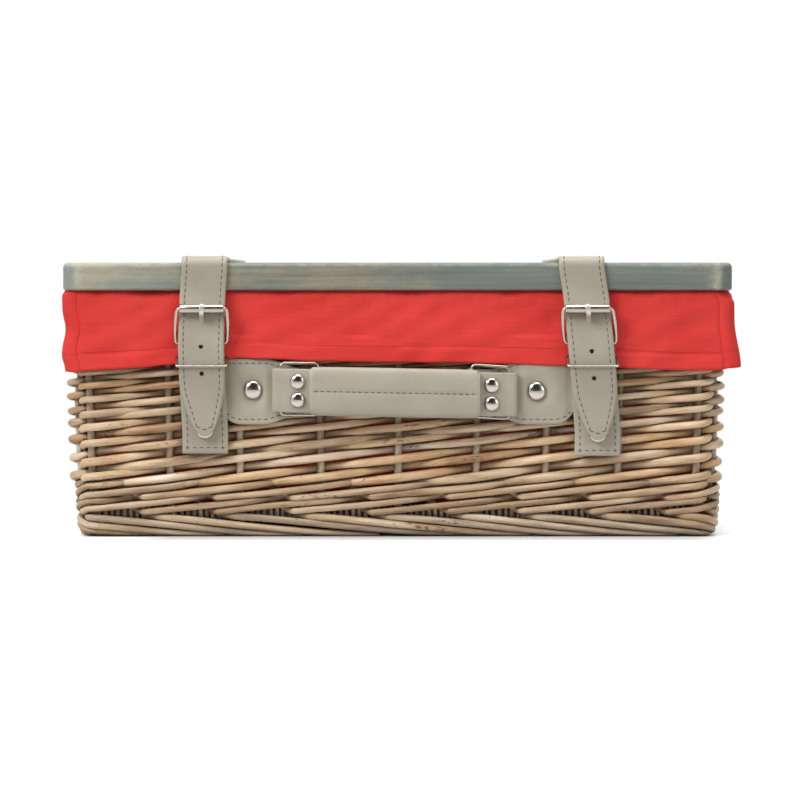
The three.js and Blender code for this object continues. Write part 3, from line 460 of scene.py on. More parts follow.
def makeRivetTree():
    tree, given = newTree("set rivets", Head="Object")
    head = addNode(tree, "GeometryNodeObjectInfo", {"Object": given["Head"]}).outputs["Geometry"]
    points = addNode(tree, "GeometryNodeMeshToPoints", {"Mesh": given["Geometry"]})
    turn = addNode(tree, "FunctionNodeAlignRotationToVector", {"Vector": stored(tree, "facing")}, axis="Z")
    return endTree(tree, given, addNode(tree, "GeometryNodeInstanceOnPoints", {
        "Points": points, "Instance": head, "Rotation": turn, "Scale": stored(tree, "size")}))


rodTree, stitchTree, rivetTree = makeRodTree(), makeStitchTree(), makeRivetTree()


def grow(name, lines, tree, inputs):  # a line has points in metres, and lists or single values as attributes
    points, edges, store = [], [], {}
    for line in lines:
        first, count = len(points), len(line["points"])
        points += [tuple(p) for p in line["points"]]
        edges += [(first + k, first + k + 1) for k in range(count - 1)]
        if line.get("closed"):
            edges.append((first + count - 1, first))
        for key, value in line.items():
            if key not in ("points", "closed"):
                store.setdefault(key, []).extend(value if isinstance(value, list) else [value] * count)
    mesh = bpy.data.meshes.new(name)
    mesh.from_pydata(points, edges, [])
    for key, values in store.items():
        if isinstance(values[0], Vector):
            spread = mesh.attributes.new(key, "FLOAT_VECTOR", "POINT")
            spread.data.foreach_set("vector", [c for v in values for c in v])
        else:
            mesh.attributes.new(key, "FLOAT", "POINT").data.foreach_set("value", values)
    piece = newObject(name, mesh)
    modifier = piece.modifiers.new("grow", "NODES")
    modifier.node_group = tree
    for item in tree.interface.items_tree:
        if item.item_type == "SOCKET" and item.in_out == "INPUT" and item.name in inputs:
            modifier[item.identifier] = inputs[item.name]
    return settle(piece)


def rods(name, lines, finish, sides):
    for line in lines:
        points, lengths = line["points"], [0.0]
        for before, after in zip(points, points[1:]):
            lengths.append(lengths[-1] + (after - before).length / mm)
        line["along"] = lengths
    return grow(name, lines, rodTree, {"Sides": sides, "Finish": finish})


def stitches(name, lines, finish, pitch, size):
    return grow(name, lines, stitchTree, {"Pitch": pitch * mm, "Size": Vector(size) * mm, "Finish": finish})


# the woven body, all rods on the same upright stakes

bodyForm = {
    "halfX": 198.0, "halfY": 140.5, "rimTop": 149.5, "lean": 5.2, "midInset": 6.6, "corner": 10.0,
    "frontStakes": [-186.8, -138.7, -95.9, -47.0, 0.6, 48.3, 90.4, 134.4, 182.0],
    "otherStakes": [(7, 123.0), (9, 184.0), (7, 123.0)],  # how many and how far out: right, back and left
    "cornerOut": {9: 0.8, 15: 0.8, 25: 1.4, 31: 2.2}, "cornerTop": (92, 12),
}
midX, midY = (bodyForm[half] - bodyForm["midInset"] for half in ("halfX", "halfY"))
bend = bodyForm["corner"]
flats = (midX - bend, midY - bend)
quarter = bend * math.pi / 2
sideLengths = [2 * flats[side % 2] for side in range(4)]
roundTrip = sum(sideLengths) + 4 * quarter


def turned(side, x, y):  # from the front round to another side
    c, d = math.cos(side * math.pi / 2), math.sin(side * math.pi / 2)
    return x * c - y * d, x * d + y * c


def planAt(s):  # plan point and outward direction at a distance round the wall, from the front left
    s = s % roundTrip
    for side in range(4):
        along, deep = flats[side % 2], flats[1 - side % 2]
        if s <= sideLengths[side]:
            local, normal = (s - along, -deep - bend), (0.0, -1.0)
            break
        s -= sideLengths[side]
        if s <= quarter:
            normal = (math.sin(s / bend), -math.cos(s / bend))
            local = (along + bend * normal[0], -deep + bend * normal[1])
            break
        s -= quarter
    return turned(side, *local), turned(side, *normal)


def leanAt(z):
    return bodyForm["lean"] * z / bodyForm["rimTop"]


def wallPoint(s, z, depth):  # depth is outward from the wall's middle
    (x, y), (nx, ny) = planAt(s)
    return spot(x * (1 + leanAt(z) / midX) + nx * depth, y * (1 + leanAt(z) / midY) + ny * depth, z)


def frontPlace(x):  # the front's end stakes stand in the corners
    over = abs(x) - flats[0]
    return flats[0] + (x if over <= 0 else math.copysign(flats[0] + bend * math.asin(over / bend), x))


stakePlaces = [frontPlace(x) for x in bodyForm["frontStakes"]]
cornerBays, begin = [], 0.0
for side, (count, reach) in enumerate(bodyForm["otherStakes"], 1):
    cornerBays.append(len(stakePlaces) - 1)
    begin += sideLengths[side - 1] + quarter
    stakePlaces += [begin + flats[side % 2] + mixed(-reach, reach, i / (count - 1)) for i in range(count)]
stakeCount = len(stakePlaces)
cornerBays.append(stakeCount - 1)


def stakeRound(t):  # distance round the wall at a stake count that may pass the end
    turn, i = divmod(math.floor(t), stakeCount)
    after = stakePlaces[i + 1] if i + 1 < stakeCount else stakePlaces[0] + roundTrip
    return turn * roundTrip + mixed(stakePlaces[i], after, t - math.floor(t))


def cornerOut(t, z):  # extra outward shift and swing round the stakes beside the corners
    top, fade = bodyForm["cornerTop"]
    out = 0.0
    for i, more in bodyForm["cornerOut"].items():
        near = abs((t - i + stakeCount / 2) % stakeCount - stakeCount / 2)
        out += more * (1 - eased((z - top) / fade)) * max(0.0, 1 - near)
    return out


def jitters(chance, count, most):
    return [chance.uniform(-1, 1) * most for _ in range(count)]


def between(values, place):
    i = math.floor(place)
    return mixed(values[i], values[i + 1], eased(place - i))


def rodPiece(name, grown, form, finish, sides, slot, *nodes):  # grown gives each rod's points and girth
    chance, closed = random.Random(form["seed"]), form.get("closed")
    lines = []
    for points, girth in grown(chance):
        lines.append({"points": points, "girth": girth, "tone": chance.random(), "closed": closed})
    piece = rods(name, lines, finish, sides)
    fasten(piece, "hamper", slot, *nodes)
    return piece


weave = {
    "first": 36.4, "lowest": 33.2, "butt": 1.05, "tail": 0.4, "climb": 177.9, "fade": 0.034, "strokes": 23,
    "steps": 12, "cornerRise": 0.6, "swing": 4.1, "cornerSwing": 0.6, "fill": 0.475, "stout": (0.9, 1.06),
    "tipGain": 0.4, "jitter": 0.35, "seed": 11,
}


def riseTo(t):  # the rods climb less round the corners
    turn, i = divmod(math.floor(t), stakeCount)
    less = 1 - weave["cornerRise"]
    part = i - less * sum(1 for bay in cornerBays if bay < i)
    step = weave["cornerRise"] if i in cornerBays else 1.0
    return turn * (stakeCount - len(cornerBays) * less) + part + step * (t - math.floor(t))


def weaveRods(chance):
    for i in range(stakeCount):
        wander = jitters(chance, weave["strokes"] + 5, weave["jitter"])
        sway = jitters(chance, weave["strokes"] + 5, weave["jitter"])
        stout = chance.uniform(*weave["stout"])
        points, girth = [], []
        for k in range(round((weave["strokes"] + weave["tail"] + weave["butt"]) * weave["steps"]) + 1):
            t = i - weave["butt"] + k / weave["steps"]
            m = t - i
            climb = riseTo(t + stakeCount) - riseTo(i + stakeCount)
            slow = math.exp(-weave["fade"] * climb)
            z = max(weave["first"] + weave["climb"] * (1 - slow), weave["lowest"]) + between(wander, m + 2)
            wave = (math.cos(math.pi * m) + math.cos(3 * math.pi * m) / 9) / 1.111  # a wave with fuller turns
            out = cornerOut(t, z)
            depth = out + (weave["swing"] + weave["cornerSwing"] * out) * wave + between(sway, m + 2)
            points.append(wallPoint(stakeRound(t + stakeCount), z, depth))
            pitch = weave["climb"] * weave["fade"] * slow
            girth.append((weave["fill"] * pitch * stout + weave["tipGain"] * eased(climb / 20)) * mm)
        yield points, girth


wovenWalls = rodPiece("woven_walls", weaveRods, weave, willow, 8, "willow", "side_weave")
print("side weave:", len(wovenWalls.data.polygons), "faces")

stakes = {"radius": 2.3, "taper": (1.06, 0.9), "low": 6.0, "high": 144.0, "steps": 14, "behind": -0.6,
          "cornerOut": 1.3, "outFrom": (36, 10), "outTo": (84, 16), "seed": 5}


def stakeRods(chance):
    (first, rise), (last, fall) = stakes["outFrom"], stakes["outTo"]
    for i, s in enumerate(stakePlaces):
        lean = chance.uniform(-1.0, 1.0)
        nudge = stakes["cornerOut"] if i in bodyForm["cornerOut"] else 0.0
        points, girth = [], []
        for share in (k / stakes["steps"] for k in range(stakes["steps"] + 1)):
            z = mixed(stakes["low"], stakes["high"], share)
            out = nudge * eased((z - first) / rise) * (1 - eased((z - last) / fall))
            points.append(wallPoint(s + lean * (share - 0.5), z, stakes["behind"] + cornerOut(i, z) + out))
            girth.append(stakes["radius"] * mm * mixed(*stakes["taper"], share))
        yield points, girth


rodPiece("upright_stakes", stakeRods, stakes, stakeWillow, 10, "stake_willow",
         "front_stakes", "right_stakes", "back_stakes", "left_stakes")

wale = {"centres": [19.6, 28.6], "rods": 3, "begin": -10, "over": 0.6, "rise": 4.6, "swing": 4.9,
        "radius": 2.1, "stout": (0.94, 1.06), "steps": 12, "jitter": 0.7, "seed": 21}


def waleRods(chance):
    for centre in wale["centres"]:
        for rod in range(wale["rods"]):
            stout = chance.uniform(*wale["stout"])
            wander = jitters(chance, stakeCount + 3, wale["jitter"])
            points = []
            for k in range(round((stakeCount + wale["over"]) * wale["steps"]) + 1):
                t = stakeCount + wale["begin"] + rod / 3 + k / wale["steps"]
                s = (t - rod + 0.35) % 3 - 0.35  # out past two stakes and behind the third
                fall = eased((s - 2.25) / 0.4)
                swing = 1 - 2 * eased((s - 1.1) / 0.6) + 2 * eased((s - 2.4) / 0.4)
                height = min(2 * (s + 0.35) / 1.85 - 1, 1.0) * (1 - fall) - fall
                z = centre + wale["rise"] * height + between(wander, k / wale["steps"])
                points.append(wallPoint(stakeRound(t), z, wale["swing"] * swing))
            yield points, wale["radius"] * stout * mm


rodPiece("bottom_waling", waleRods, wale, borderWillow, 8, "willow", "bottom_wale")

foot = {
    "path": [  # stakes passed, height, depth and share of the girth
        (-0.34, 12.8, -2.8, 0.9), (-0.2, 12.7, 1.2, 1.0), (-0.07, 12.3, 3.5, 1.05), (0.3, 10.9, 4.3, 1.0),
        (1.0, 7.5, 4.1, 1.0), (1.6, 4.8, 3.2, 0.98), (2.05, 3.0, 2.4, 0.9), (2.45, 2.1, 1.6, 0.75),
        (2.8, 1.5, 0.8, 0.5)],
    "radius": 2.4, "stout": (0.9, 1.08), "drop": (-0.5, 0.4), "slip": (-0.09, 0.09), "clear": 0.1, "seed": 31,
}


def footRods(chance):
    for i in range(stakeCount):
        stout, drop, slip = (chance.uniform(*foot[key]) for key in ("stout", "drop", "slip"))
        points, girths = [], []
        for t, z, depth, share in smoothLine(foot["path"], count=5):
            girth = foot["radius"] * stout * share
            s = stakeRound(i + stakeCount + t + slip * eased((t - foot["path"][0][0]) / 0.6))
            points.append(wallPoint(s, max(z + drop, girth + foot["clear"]), depth))
            girths.append(girth * mm)
        yield points, girths


rodPiece("foot_rods", footRods, foot, borderWillow, 10, "willow", "foot_border")

base = {"sticks": 6, "stickRadius": 2.0, "edgeStick": 3.4, "edgeHeight": 13.6, "edgeY": 128.2, "pitch": 3.9,
        "weaverRadius": 1.4, "jitter": 0.3, "stout": (0.88, 1.1), "reachX": 184.0, "middle": 12.0, "seed": 41}


def baseRods(chance):
    reach, last = base["reachX"], base["sticks"] - 1
    rows = [mixed(-base["edgeY"], base["edgeY"], i / last) for i in range(base["sticks"])]
    for y in rows:
        edge = abs(y) == base["edgeY"]
        girth, z = (base["edgeStick"], base["edgeHeight"]) if edge else (base["stickRadius"], base["middle"])
        points = [spot(mixed(-reach, reach, k / 24), y, z) for k in range(25)]
        yield points, girth * mm
    hook, swing = (base[key] + base["weaverRadius"] for key in ("edgeStick", "stickRadius"))

    def turn(x, row, out, start):  # round one of the edge sticks
        return [spot(x, row + out * hook * math.cos(a), base["edgeHeight"] + start * hook * math.sin(a))
                for a in arc(8, -math.pi / 2, math.pi)]

    count = round(2 * reach / base["pitch"])
    for i in range(count + 1):
        x = mixed(-reach, reach, i / count) + chance.uniform(-base["jitter"], base["jitter"])
        way = 1 if i % 2 else -1
        points = turn(x, rows[0], -1, way)
        for k in range(3, 6 * last - 2):
            y = rows[0] + (rows[1] - rows[0]) * k / 6
            points.append(spot(x, y, base["middle"] + way * swing * math.cos(math.pi * k / 6)))
        points += turn(x, rows[-1], 1, way if last % 2 else -way)
        stout = chance.uniform(*base["stout"])
        yield points, base["weaverRadius"] * stout * mm


rodPiece("base_mat", baseRods, base, stakeWillow, 6, "willow", "woven_base")

rim = {"centre": 144.6, "rods": 3, "twist": 2.3, "radius": 2.3, "turns": 60, "steps": 720,
       "closed": True, "seed": 51}


def rimRods(_):
    for rod in range(rim["rods"]):
        points = []
        for share in (k / rim["steps"] for k in range(rim["steps"])):
            angle = 2 * math.pi * (rim["turns"] * share + rod / rim["rods"])
            up, out = rim["twist"] * math.sin(angle), rim["twist"] * math.cos(angle)
            points.append(wallPoint(roundTrip * share, rim["centre"] + up, out))
        yield points, rim["radius"] * mm


rodPiece("rim_rope", rimRods, rim, willow, 6, "willow", "rim_border")
print("willow body ready")


# the cotton lining: floor, bag walls, over the rim and down outside as a skirt

lining = {
    "thick": 0.6, "top": 151.25, "floor": 20.6, "floorTurn": 2.5, "bagInset": 15.4, "bagTop": 146.0,
    "bagRings": 14, "corner": 6.0, "ripple": 0.9, "rimRise": 5.2, "rimRings": 8, "skirtX": 205.8,
    "skirtY": 147.7, "skirtCorner": 8.0, "skirtRings": 34, "longSteps": 132, "shortSteps": 90,
    "cornerSteps": 6, "seamIn": 9.4, "seed": 61, "hem": 107.8, "hemReach": 33.0, "hemDepth": 9.6,
    "flare": 4.6, "flareReach": 16.0, "waist": 2.6, "waistReach": 26.0,
    "hemFold": ((1, -0.5, 0.45), (1, 0.2, 0.95), (4, 0.0, 1.05), (8, 0.0, 0.9)),  # rows back, up and inward
    "stitch": (1.15, 0.22, 0.17), "stitchPitch": 2.7, "stitchRow": -13, "stitchOut": 0.05,
}
strapPlaces = {"left": -120.0, "right": 114.6}
frontFolds = [  # place, width, depth, slant, first drop and how far down it fades in
    (-96.5, 6.5, -1.5, 0.03, 6, 14), (-84.0, 9.0, 0.7, 0.0, 4, 20), (-176.0, 11.0, 0.6, 0.35, 6, 18),
    (-158.0, 8.0, -0.7, -0.3, 8, 16), (-146.0, 6.0, 0.6, 0.2, 10, 16), (-64.0, 7.0, -0.6, 0.3, 4, 16),
    (-40.0, 11.0, 0.7, -0.3, 8, 18), (-18.0, 6.0, -0.6, -0.2, 2, 12), (6.0, 12.0, 0.7, 0.25, 6, 20),
    (30.0, 7.0, -0.6, -0.35, 2, 14), (52.0, 9.0, 0.6, 0.2, 10, 16), (76.0, 7.0, -0.7, 0.15, 4, 16),
    (92.5, 5.0, -0.9, 0.05, 6, 12), (142.0, 6.0, -0.7, 0.12, 6, 14), (154.0, 9.0, 0.7, -0.1, 6, 18),
    (166.3, 1.6, 0.5, 0.0, 6, 8), (181.0, 8.0, -0.7, -0.2, 8, 16),
]
topPleats = [  # side, place, width and depth
    (0, -184.0, 5.0, 1.8), (0, -152.0, 13.0, 3.2), (0, -70.0, 8.0, 1.4), (0, 8.0, 12.0, 1.6),
    (0, 68.0, 6.0, 1.8), (0, 150.0, 9.0, 1.2), (1, -60.0, 12.0, 2.0), (1, 40.0, 15.0, 2.4),
    (2, -120.0, 12.0, 2.2), (2, 30.0, 16.0, 2.0), (3, -20.0, 14.0, 2.2), (3, 90.0, 8.0, 1.6),
]
hemFront = [  # place along the front and height
    (-206, 100.6), (-200, 100.9), (-194, 102.6), (-176, 103.4), (-158, 104.5), (-139, 106.3), (-118, 109.0),
    (-97, 110.4), (-84, 110.0), (-48, 108.2), (0, 107.5), (38, 107.4), (70, 106.6), (99, 105.7), (130, 104.7),
    (148, 103.9), (165, 103.1), (184, 102.7), (194, 102.8), (199, 104.2), (206, 104.2),
]
hemCorners = [100.6, 104.2, 103.0, 102.4]  # front left, front right, back right, back left


def halfSide(side):
    return (lining["skirtX"], lining["skirtY"])[side % 2]


def liningStations():  # side, share of its length and share of the corner after it
    stations = []
    for side, steps in enumerate((lining["longSteps"], lining["shortSteps"]) * 2):
        reach = halfSide(side) - lining["skirtCorner"]
        seam = lining["seamIn"] - lining["skirtCorner"]
        near = [(seam + d) / (2 * reach) for d in (-0.9, -0.4, 0.0, 0.4, 0.9)]
        shares = sorted({k / steps for k in range(steps)}.union(near, [1 - share for share in near]))
        stations += [(side, share, None) for share in shares]
        stations += [(side, 1.0, k / lining["cornerSteps"]) for k in range(lining["cornerSteps"])]
    return stations


def roundedPlan(station, halfX, halfY, radius):  # plan point and outward direction on a rounded rectangle
    side, share, turnShare = station
    reach, out = ((halfX, halfY), (halfY, halfX))[side % 2]
    local, normal = (mixed(radius - reach, reach - radius, share), -out), (0.0, -1.0)
    if turnShare is not None:
        angle = turnShare * math.pi / 2
        normal = (math.sin(angle), -math.cos(angle))
        local = (reach - radius + radius * normal[0], radius - out + radius * normal[1])
    return turned(side, *local), turned(side, *normal)


def skirtPlan(station):
    return roundedPlan(station, lining["skirtX"], lining["skirtY"], lining["skirtCorner"])


def skirtFolds():
    chance = random.Random(lining["seed"])
    folds = [(0,) + fold for fold in frontFolds]
    for side in (1, 2, 3):
        reach = halfSide(side) - 12
        for _ in range(13):
            folds.append((side, chance.uniform(-reach, reach), chance.uniform(4, 12),
                          chance.choice([-1, 1]) * chance.uniform(0.4, 0.9), chance.uniform(-0.3, 0.3),
                          chance.uniform(2, 10), chance.uniform(12, 20)))
    return folds


folds = skirtFolds()


def skirtDepth(side, a, drop, hemDrop):
    depth = 0.0
    for own, place, width, deep, slant, first, fade in folds:
        if own == side:
            depth += deep * hump(a - place - slant * drop, width) * eased((drop - first) / fade)
    ruffle = math.sin(0.71 * a + 1.9 * math.sin(0.093 * a)) * math.sin(0.17 * a + side)
    depth += 0.55 * ruffle * hump(drop - 5, 5)
    overHem = hemDrop - drop - lining["hemDepth"]
    depth += 0.3 * eased(-overHem / 2) - 0.4 * hump(overHem, 0.9)  # pressed in at the hem's seam
    depth += 0.16 * math.sin(1.3 * a) * hump(overHem, 2.4)
    depth += 0.6 * math.sin(0.055 * a + 2 * side) * eased(drop / 40)
    depth += 0.25 * math.sin(0.19 * a + 0.35 * drop + 1.3 * math.sin(0.05 * a)) * eased(drop / 12)
    if side == 0 and min(abs(a - x) for x in strapPlaces.values()) < 19:
        depth = min(depth, 0.35)  # flat under the straps
    if side == 0 and abs(a) < 106 and drop > 28:
        depth = max(depth, 0.25 * eased((drop - 28) / 8))  # over the tops of the handle tabs
    return min(max(depth, -0.5 - 0.05 * drop), 1.5)


def topTuck(side, a, drop):  # the cloth turns in under the board, further at the pleats
    tuck = -1.6 * (1 - eased(drop / 3.2))
    for own, place, width, deep in topPleats:
        if own == side:
            tuck -= deep * hump(a - place, width) * (1 - eased(drop / 7))
    return tuck


def hemHeight(side, a):
    if side == 0:
        return tableAt(hemFront, a, eased)
    reach, high = halfSide(side), lining["hem"]
    first, last = hemCorners[side], hemCorners[(side + 1) % 4]
    sag = (high - first) * math.exp(-(reach + a) / lining["hemReach"])
    sag += (high - last) * math.exp((a - reach) / lining["hemReach"])
    return high - sag + 0.5 * math.sin(0.045 * a + side) * eased((reach - abs(a)) / 30)


def skirtPoint(station, level):
    side, share, turnShare = station
    reach = halfSide(side)
    (x, y), (nx, ny) = skirtPlan(station)
    inner = reach - lining["skirtCorner"]
    a = mixed(-inner, inner, share)
    hem = hemHeight(side, a)
    if turnShare is not None:
        after = (side + 1) % 4
        hem = mixed(hem, hemHeight(after, lining["skirtCorner"] - halfSide(after)), turnShare)
    hemDrop = lining["top"] - hem
    drop = hemDrop * level
    if turnShare is None:
        depth = skirtDepth(side, a, drop, hemDrop) * eased((inner - abs(a)) / 10)
        depth -= 0.8 * hump(reach - lining["seamIn"] - abs(a), 0.6) * eased(drop / 4)  # corner seam
        depth += topTuck(side, a, drop)
    else:
        depth = 0.25 * eased(drop / 30) + topTuck(side, reach, drop)
    rightCorner = math.hypot(x - lining["skirtX"], y + lining["skirtY"])
    leftCorner = math.hypot(x + lining["skirtX"], y + lining["skirtY"])
    flare = lining["flare"] * hump(rightCorner, lining["flareReach"]) * eased((drop - 18) / 30)
    flare += hump(rightCorner, 12) * (1.2 - 6.0 * (1 - eased(drop / 8)))
    drawn = hump(drop - 24, 8) + 0.8 * eased((drop - 40) / 8)
    waist = lining["waist"] * hump(leftCorner, lining["waistReach"]) * drawn
    return spot(x + nx * depth + flare + waist, y + ny * depth, lining["top"] - drop)


def liningRings(stations):
    halfX, halfY = bodyForm["halfX"], bodyForm["halfY"]
    floor, inset, radius, turn = (lining[key] for key in ("floor", "bagInset", "corner", "floorTurn"))
    chance = random.Random(lining["seed"] + 1)
    dents = [(chance.uniform(0, 2 * math.pi), chance.choice([5, 9, 14, 21, 33])) for _ in range(7)]

    def bagRing(z, inset, radius=radius, ripple=0.0):
        ring = []
        less = inset - leanAt(z)
        for station, angle in zip(stations, turns(len(stations))):
            (x, y), (nx, ny) = roundedPlan(station, halfX - less, halfY - less, radius)
            push = abs(ripple * sum(math.sin(n * angle + p + 0.03 * z) for p, n in dents) / 3)
            ring.append(spot(x - nx * push, y - ny * push, z))
        return ring

    rings = [bagRing(floor - 0.4, inset + 100, 2.0), bagRing(floor - 0.2, inset + 60, 3.0),
             bagRing(floor, inset + 20, 4.0), bagRing(floor, inset + 3)]
    rings += [bagRing(floor + turn * (1 - math.cos(a)), inset + turn * (1 - math.sin(a))) for a in arc(3)[1:]]
    for share in (k / lining["bagRings"] for k in range(1, lining["bagRings"] + 1)):
        ripple = lining["ripple"] * math.sin(math.pi * share)
        rings.append(bagRing(mixed(floor + turn, lining["bagTop"], share), inset, ripple=ripple))
    levels = [0.0, 0.012, 0.03, 0.055]
    levels += [mixed(levels[-1], 1.0, k / lining["skirtRings"]) for k in range(1, lining["skirtRings"] + 1)]
    skirt = [[skirtPoint(station, level) for station in stations] for level in levels]
    for k in range(1, lining["rimRings"] + 1):  # from the bag's top over the rim
        z = lining["top"] - lining["rimRise"] * (1 - math.sin(math.pi * min(k / 3, 1) / 2))
        less = inset - bodyForm["lean"]
        ring = []
        for station, outer in zip(stations, skirt[0]):
            (x, y), _ = roundedPlan(station, halfX - less, halfY - less, radius)
            ring.append(spot(x, y, z).lerp(Vector((outer.x, outer.y, z * mm)), k / (lining["rimRings"] + 1)))
        rings.append(ring)
    rings += skirt
    ways = [skirtPlan(station)[1] for station in stations]
    for back, up, inward in lining["hemFold"]:
        folded = zip(skirt[-back], ways)
        rings.append([p + Vector((-nx * inward, -ny * inward, up)) * mm for p, (nx, ny) in folded])
    return rings


def mapCloth(piece, rings):  # the cut's own flat pattern, for the threads
    uv = piece.data.uv_layers.new(name="cut")
    count = len(rings[0])
    downs, rounds = [0.0], [0.0]
    for above, below in zip(rings, rings[1:]):
        downs.append(downs[-1] + (below[count // 8] - above[count // 8]).length)
    hem = rings[-8]
    for k in range(count):
        rounds.append(rounds[-1] + (hem[(k + 1) % count] - hem[k]).length)
    for face in piece.data.polygons:
        wraps = any(v % count == count - 1 for v in face.vertices)
        for corner, vertex in zip(face.loop_indices, face.vertices):
            row, column = divmod(vertex, count)
            uv.data[corner].uv = (rounds[count if wraps and column == 0 else column], downs[row])


def buildLining():
    stations = liningStations()
    rings = liningRings(stations)
    points, faces = lofted(rings, False)
    faces.append(tuple(range(len(stations) - 1, -1, -1)))
    piece = meshObject("cotton_lining", points, faces, cotton)
    mapCloth(piece, rings)
    faceOutward(piece, floorUp=True)
    shell = piece.modifiers.new("cloth", "SOLIDIFY")
    shell.thickness = lining["thick"] * mm
    shell.offset = -1.0
    settle(piece)

    lines = [{"points": [], "facing": []} for _ in range(4)]  # one row along each side
    for station, p in zip(stations, rings[lining["stitchRow"]]):
        facing = Vector((*skirtPlan(station)[1], 0))
        lines[station[0]]["points"].append(p + facing * lining["stitchOut"] * mm)
        lines[station[0]]["facing"].append(facing)
    sewn = stitches("hem_stitches", lines, redThread, lining["stitchPitch"], lining["stitch"])
    fasten(piece, "hamper", "cotton", "lining")
    fasten(sewn, "hamper", "cotton")


buildLining()
print("lining ready")


# the washed wooden lid

lid = {"halfX": 205.0, "halfY": 150.0, "low": 151.3, "thick": 17.0, "corner": 9.0, "cornerSteps": 8,
       "inner": 17.0, "ease": 3.0, "footEase": 1.6, "wear": 0.3, "footWear": 0.15,
       "arris": [(1.6, 0.9), (4.0, 0.25), (9.0, 0.0)]}


def boardStations():  # stations with the wear of the upright edge they are near
    stations = []
    for side in range(4):
        reach = (lid["halfX"], lid["halfY"])[side % 2] - lid["corner"]
        near = [(inset / (2 * reach), wear) for inset, wear in lid["arris"]]
        stations += [((side, share, None), wear) for share, wear in near]
        stations += [((side, 1 - share, None), wear) for share, wear in reversed(near)]
        for share in (k / lid["cornerSteps"] for k in range(lid["cornerSteps"] + 1)):
            stations.append(((side, 1.0, share), max(1 - 4 * share, 4 * share - 3, 0.0) * 0.9))
    return stations


def buildBoard():
    rings, worn = [], []
    low, high, ease, under = lid["low"], lid["low"] + lid["thick"], lid["ease"], lid["footEase"]

    def addRing(inset, z, edge, upright):
        rings.append([])
        for station, wear in boardStations():
            radius = max(lid["corner"] - inset, 0.5)
            (x, y), _ = roundedPlan(station, lid["halfX"] - inset, lid["halfY"] - inset, radius)
            rings[-1].append(spot(x, y, z))
            worn.append(max(edge, upright * wear))

    addRing(lid["inner"], low, 0.0, 0.0)
    for a in arc(5):
        inset, up = under * (1 - math.sin(a)), under * (1 - math.cos(a))
        addRing(inset, low + up, math.sin(2 * a) * lid["footWear"], math.sin(a))
    for share in (0.35, 0.65):
        addRing(0, mixed(low, high, share), 0.0, 1.0)
    for a in arc(5):
        inset, down = ease * (1 - math.cos(a)), ease * (1 - math.sin(a))
        addRing(inset, high - down, math.sin(2 * a) * lid["wear"], math.cos(a))
    addRing(lid["inner"], high, 0.0, 0.0)
    piece = solid("washed_board", *lofted(rings), washedWood)
    piece.data.attributes.new("worn", "FLOAT", "POINT").data.foreach_set("value", worn)
    fasten(piece, "lid", "washed_wood", "lid_board")


buildBoard()


# leather strips with rounded edges and a pressed stitch groove

strip = {"edge": 0.85, "end": 0.55, "grooveIn": 3.2, "groove": 0.16, "grooveWidth": 0.8, "narrow": 9.5,
         "columns": (0.13, 0.27, 0.4, 0.55), "pitch": 3.8, "stitch": (1.4, 0.34, 0.25), "sunk": 0.1}


def stripFrames(line, xAt, halfAt, thick, way=1):  # a strip that hangs, from its side view
    frames = []
    for (y, z), dy, dz in stepsOf(line):
        out = Vector((0, dy, dz)).normalized().cross(acrossX) * way
        frames.append({"centre": spot(xAt(z), y, z), "across": acrossX, "out": out, "half": halfAt(z),
                       "thick": thick})
    return frames


def narrowing(half):  # narrow ends carry a narrower border
    return min(1.0, half / strip["narrow"])


def stripRing(place, grooved, shrink=1.0):
    half, thick = place["half"], place["thick"] * shrink
    small = narrowing(half)
    edge = strip["edge"] * small
    marks = [(0.0, 0.0), (0.25 * edge, 0.33), (edge, 0.5)]
    if grooved:
        inset, wide = strip["grooveIn"] * small, strip["grooveWidth"] * small
        marks += [(inset - wide, 0.5), (inset, 0.5 - strip["groove"] / thick), (inset + wide, 0.5)]
    left = [(-half + e, v) for e, v in marks]
    columns = [-c for c in reversed(strip["columns"])] + [0.0] + list(strip["columns"])
    front = left + [(half * c, 0.5) for c in columns] + [(-u, v) for u, v in reversed(left)]
    back = [(half - 0.25 * edge, -0.33), (half - edge, -0.5)] + [(-half * c, -0.5) for c in columns]
    back += [(-half + edge, -0.5), (-half + 0.25 * edge, -0.33)]
    dent = place.get("dent", lambda u: 0.0)
    return [place["centre"] + place["across"] * (u * mm) + place["out"] * ((v * thick + dent(u)) * mm)
            for u, v in front + back]


def leatherStrip(name, frames, finish=leather, grooved=True, butted=False):
    rings = [stripRing(frames[0], grooved, 1.0 if butted else strip["end"])]
    rings += [stripRing(place, grooved) for place in frames[1:-1]]
    rings.append(stripRing(frames[-1], grooved, strip["end"]))
    piece = solid(name, *lofted(rings), finish)
    if butted:
        piece.data.set_sharp_from_angle(angle=math.radians(70))
    return piece


def edgeSeam(frames, way, first=0, last=None):
    points, facing = [], []
    for place in frames[first:last]:
        u = way * (place["half"] - strip["grooveIn"] * narrowing(place["half"]))
        lift = place["thick"] / 2 - strip["sunk"] + place.get("dent", lambda u: 0.0)(u)
        points.append(place["centre"] + place["across"] * (u * mm) + place["out"] * (lift * mm))
        facing.append(place["out"])
    return {"points": points, "facing": facing}


def acrossSeam(place, lift, steps):
    reach = place["half"] - strip["grooveIn"]
    ends = [place["centre"] + acrossX * (way * reach * mm) + place["out"] * (lift * mm) for way in (-1, 1)]
    return {"points": [ends[0].lerp(ends[1], k / steps) for k in range(steps + 1)], "facing": place["out"]}


def leatherStitches(name, lines):
    return stitches(name, lines, brownThread, strip["pitch"], strip["stitch"])


def cutHoles(piece, cutters):
    for cutter in cutters:
        cut = piece.modifiers.new("punch", "BOOLEAN")
        cut.object = cutter
        cut.solver = "EXACT"
    settle(piece)
    for cutter in cutters:
        bpy.data.objects.remove(cutter)


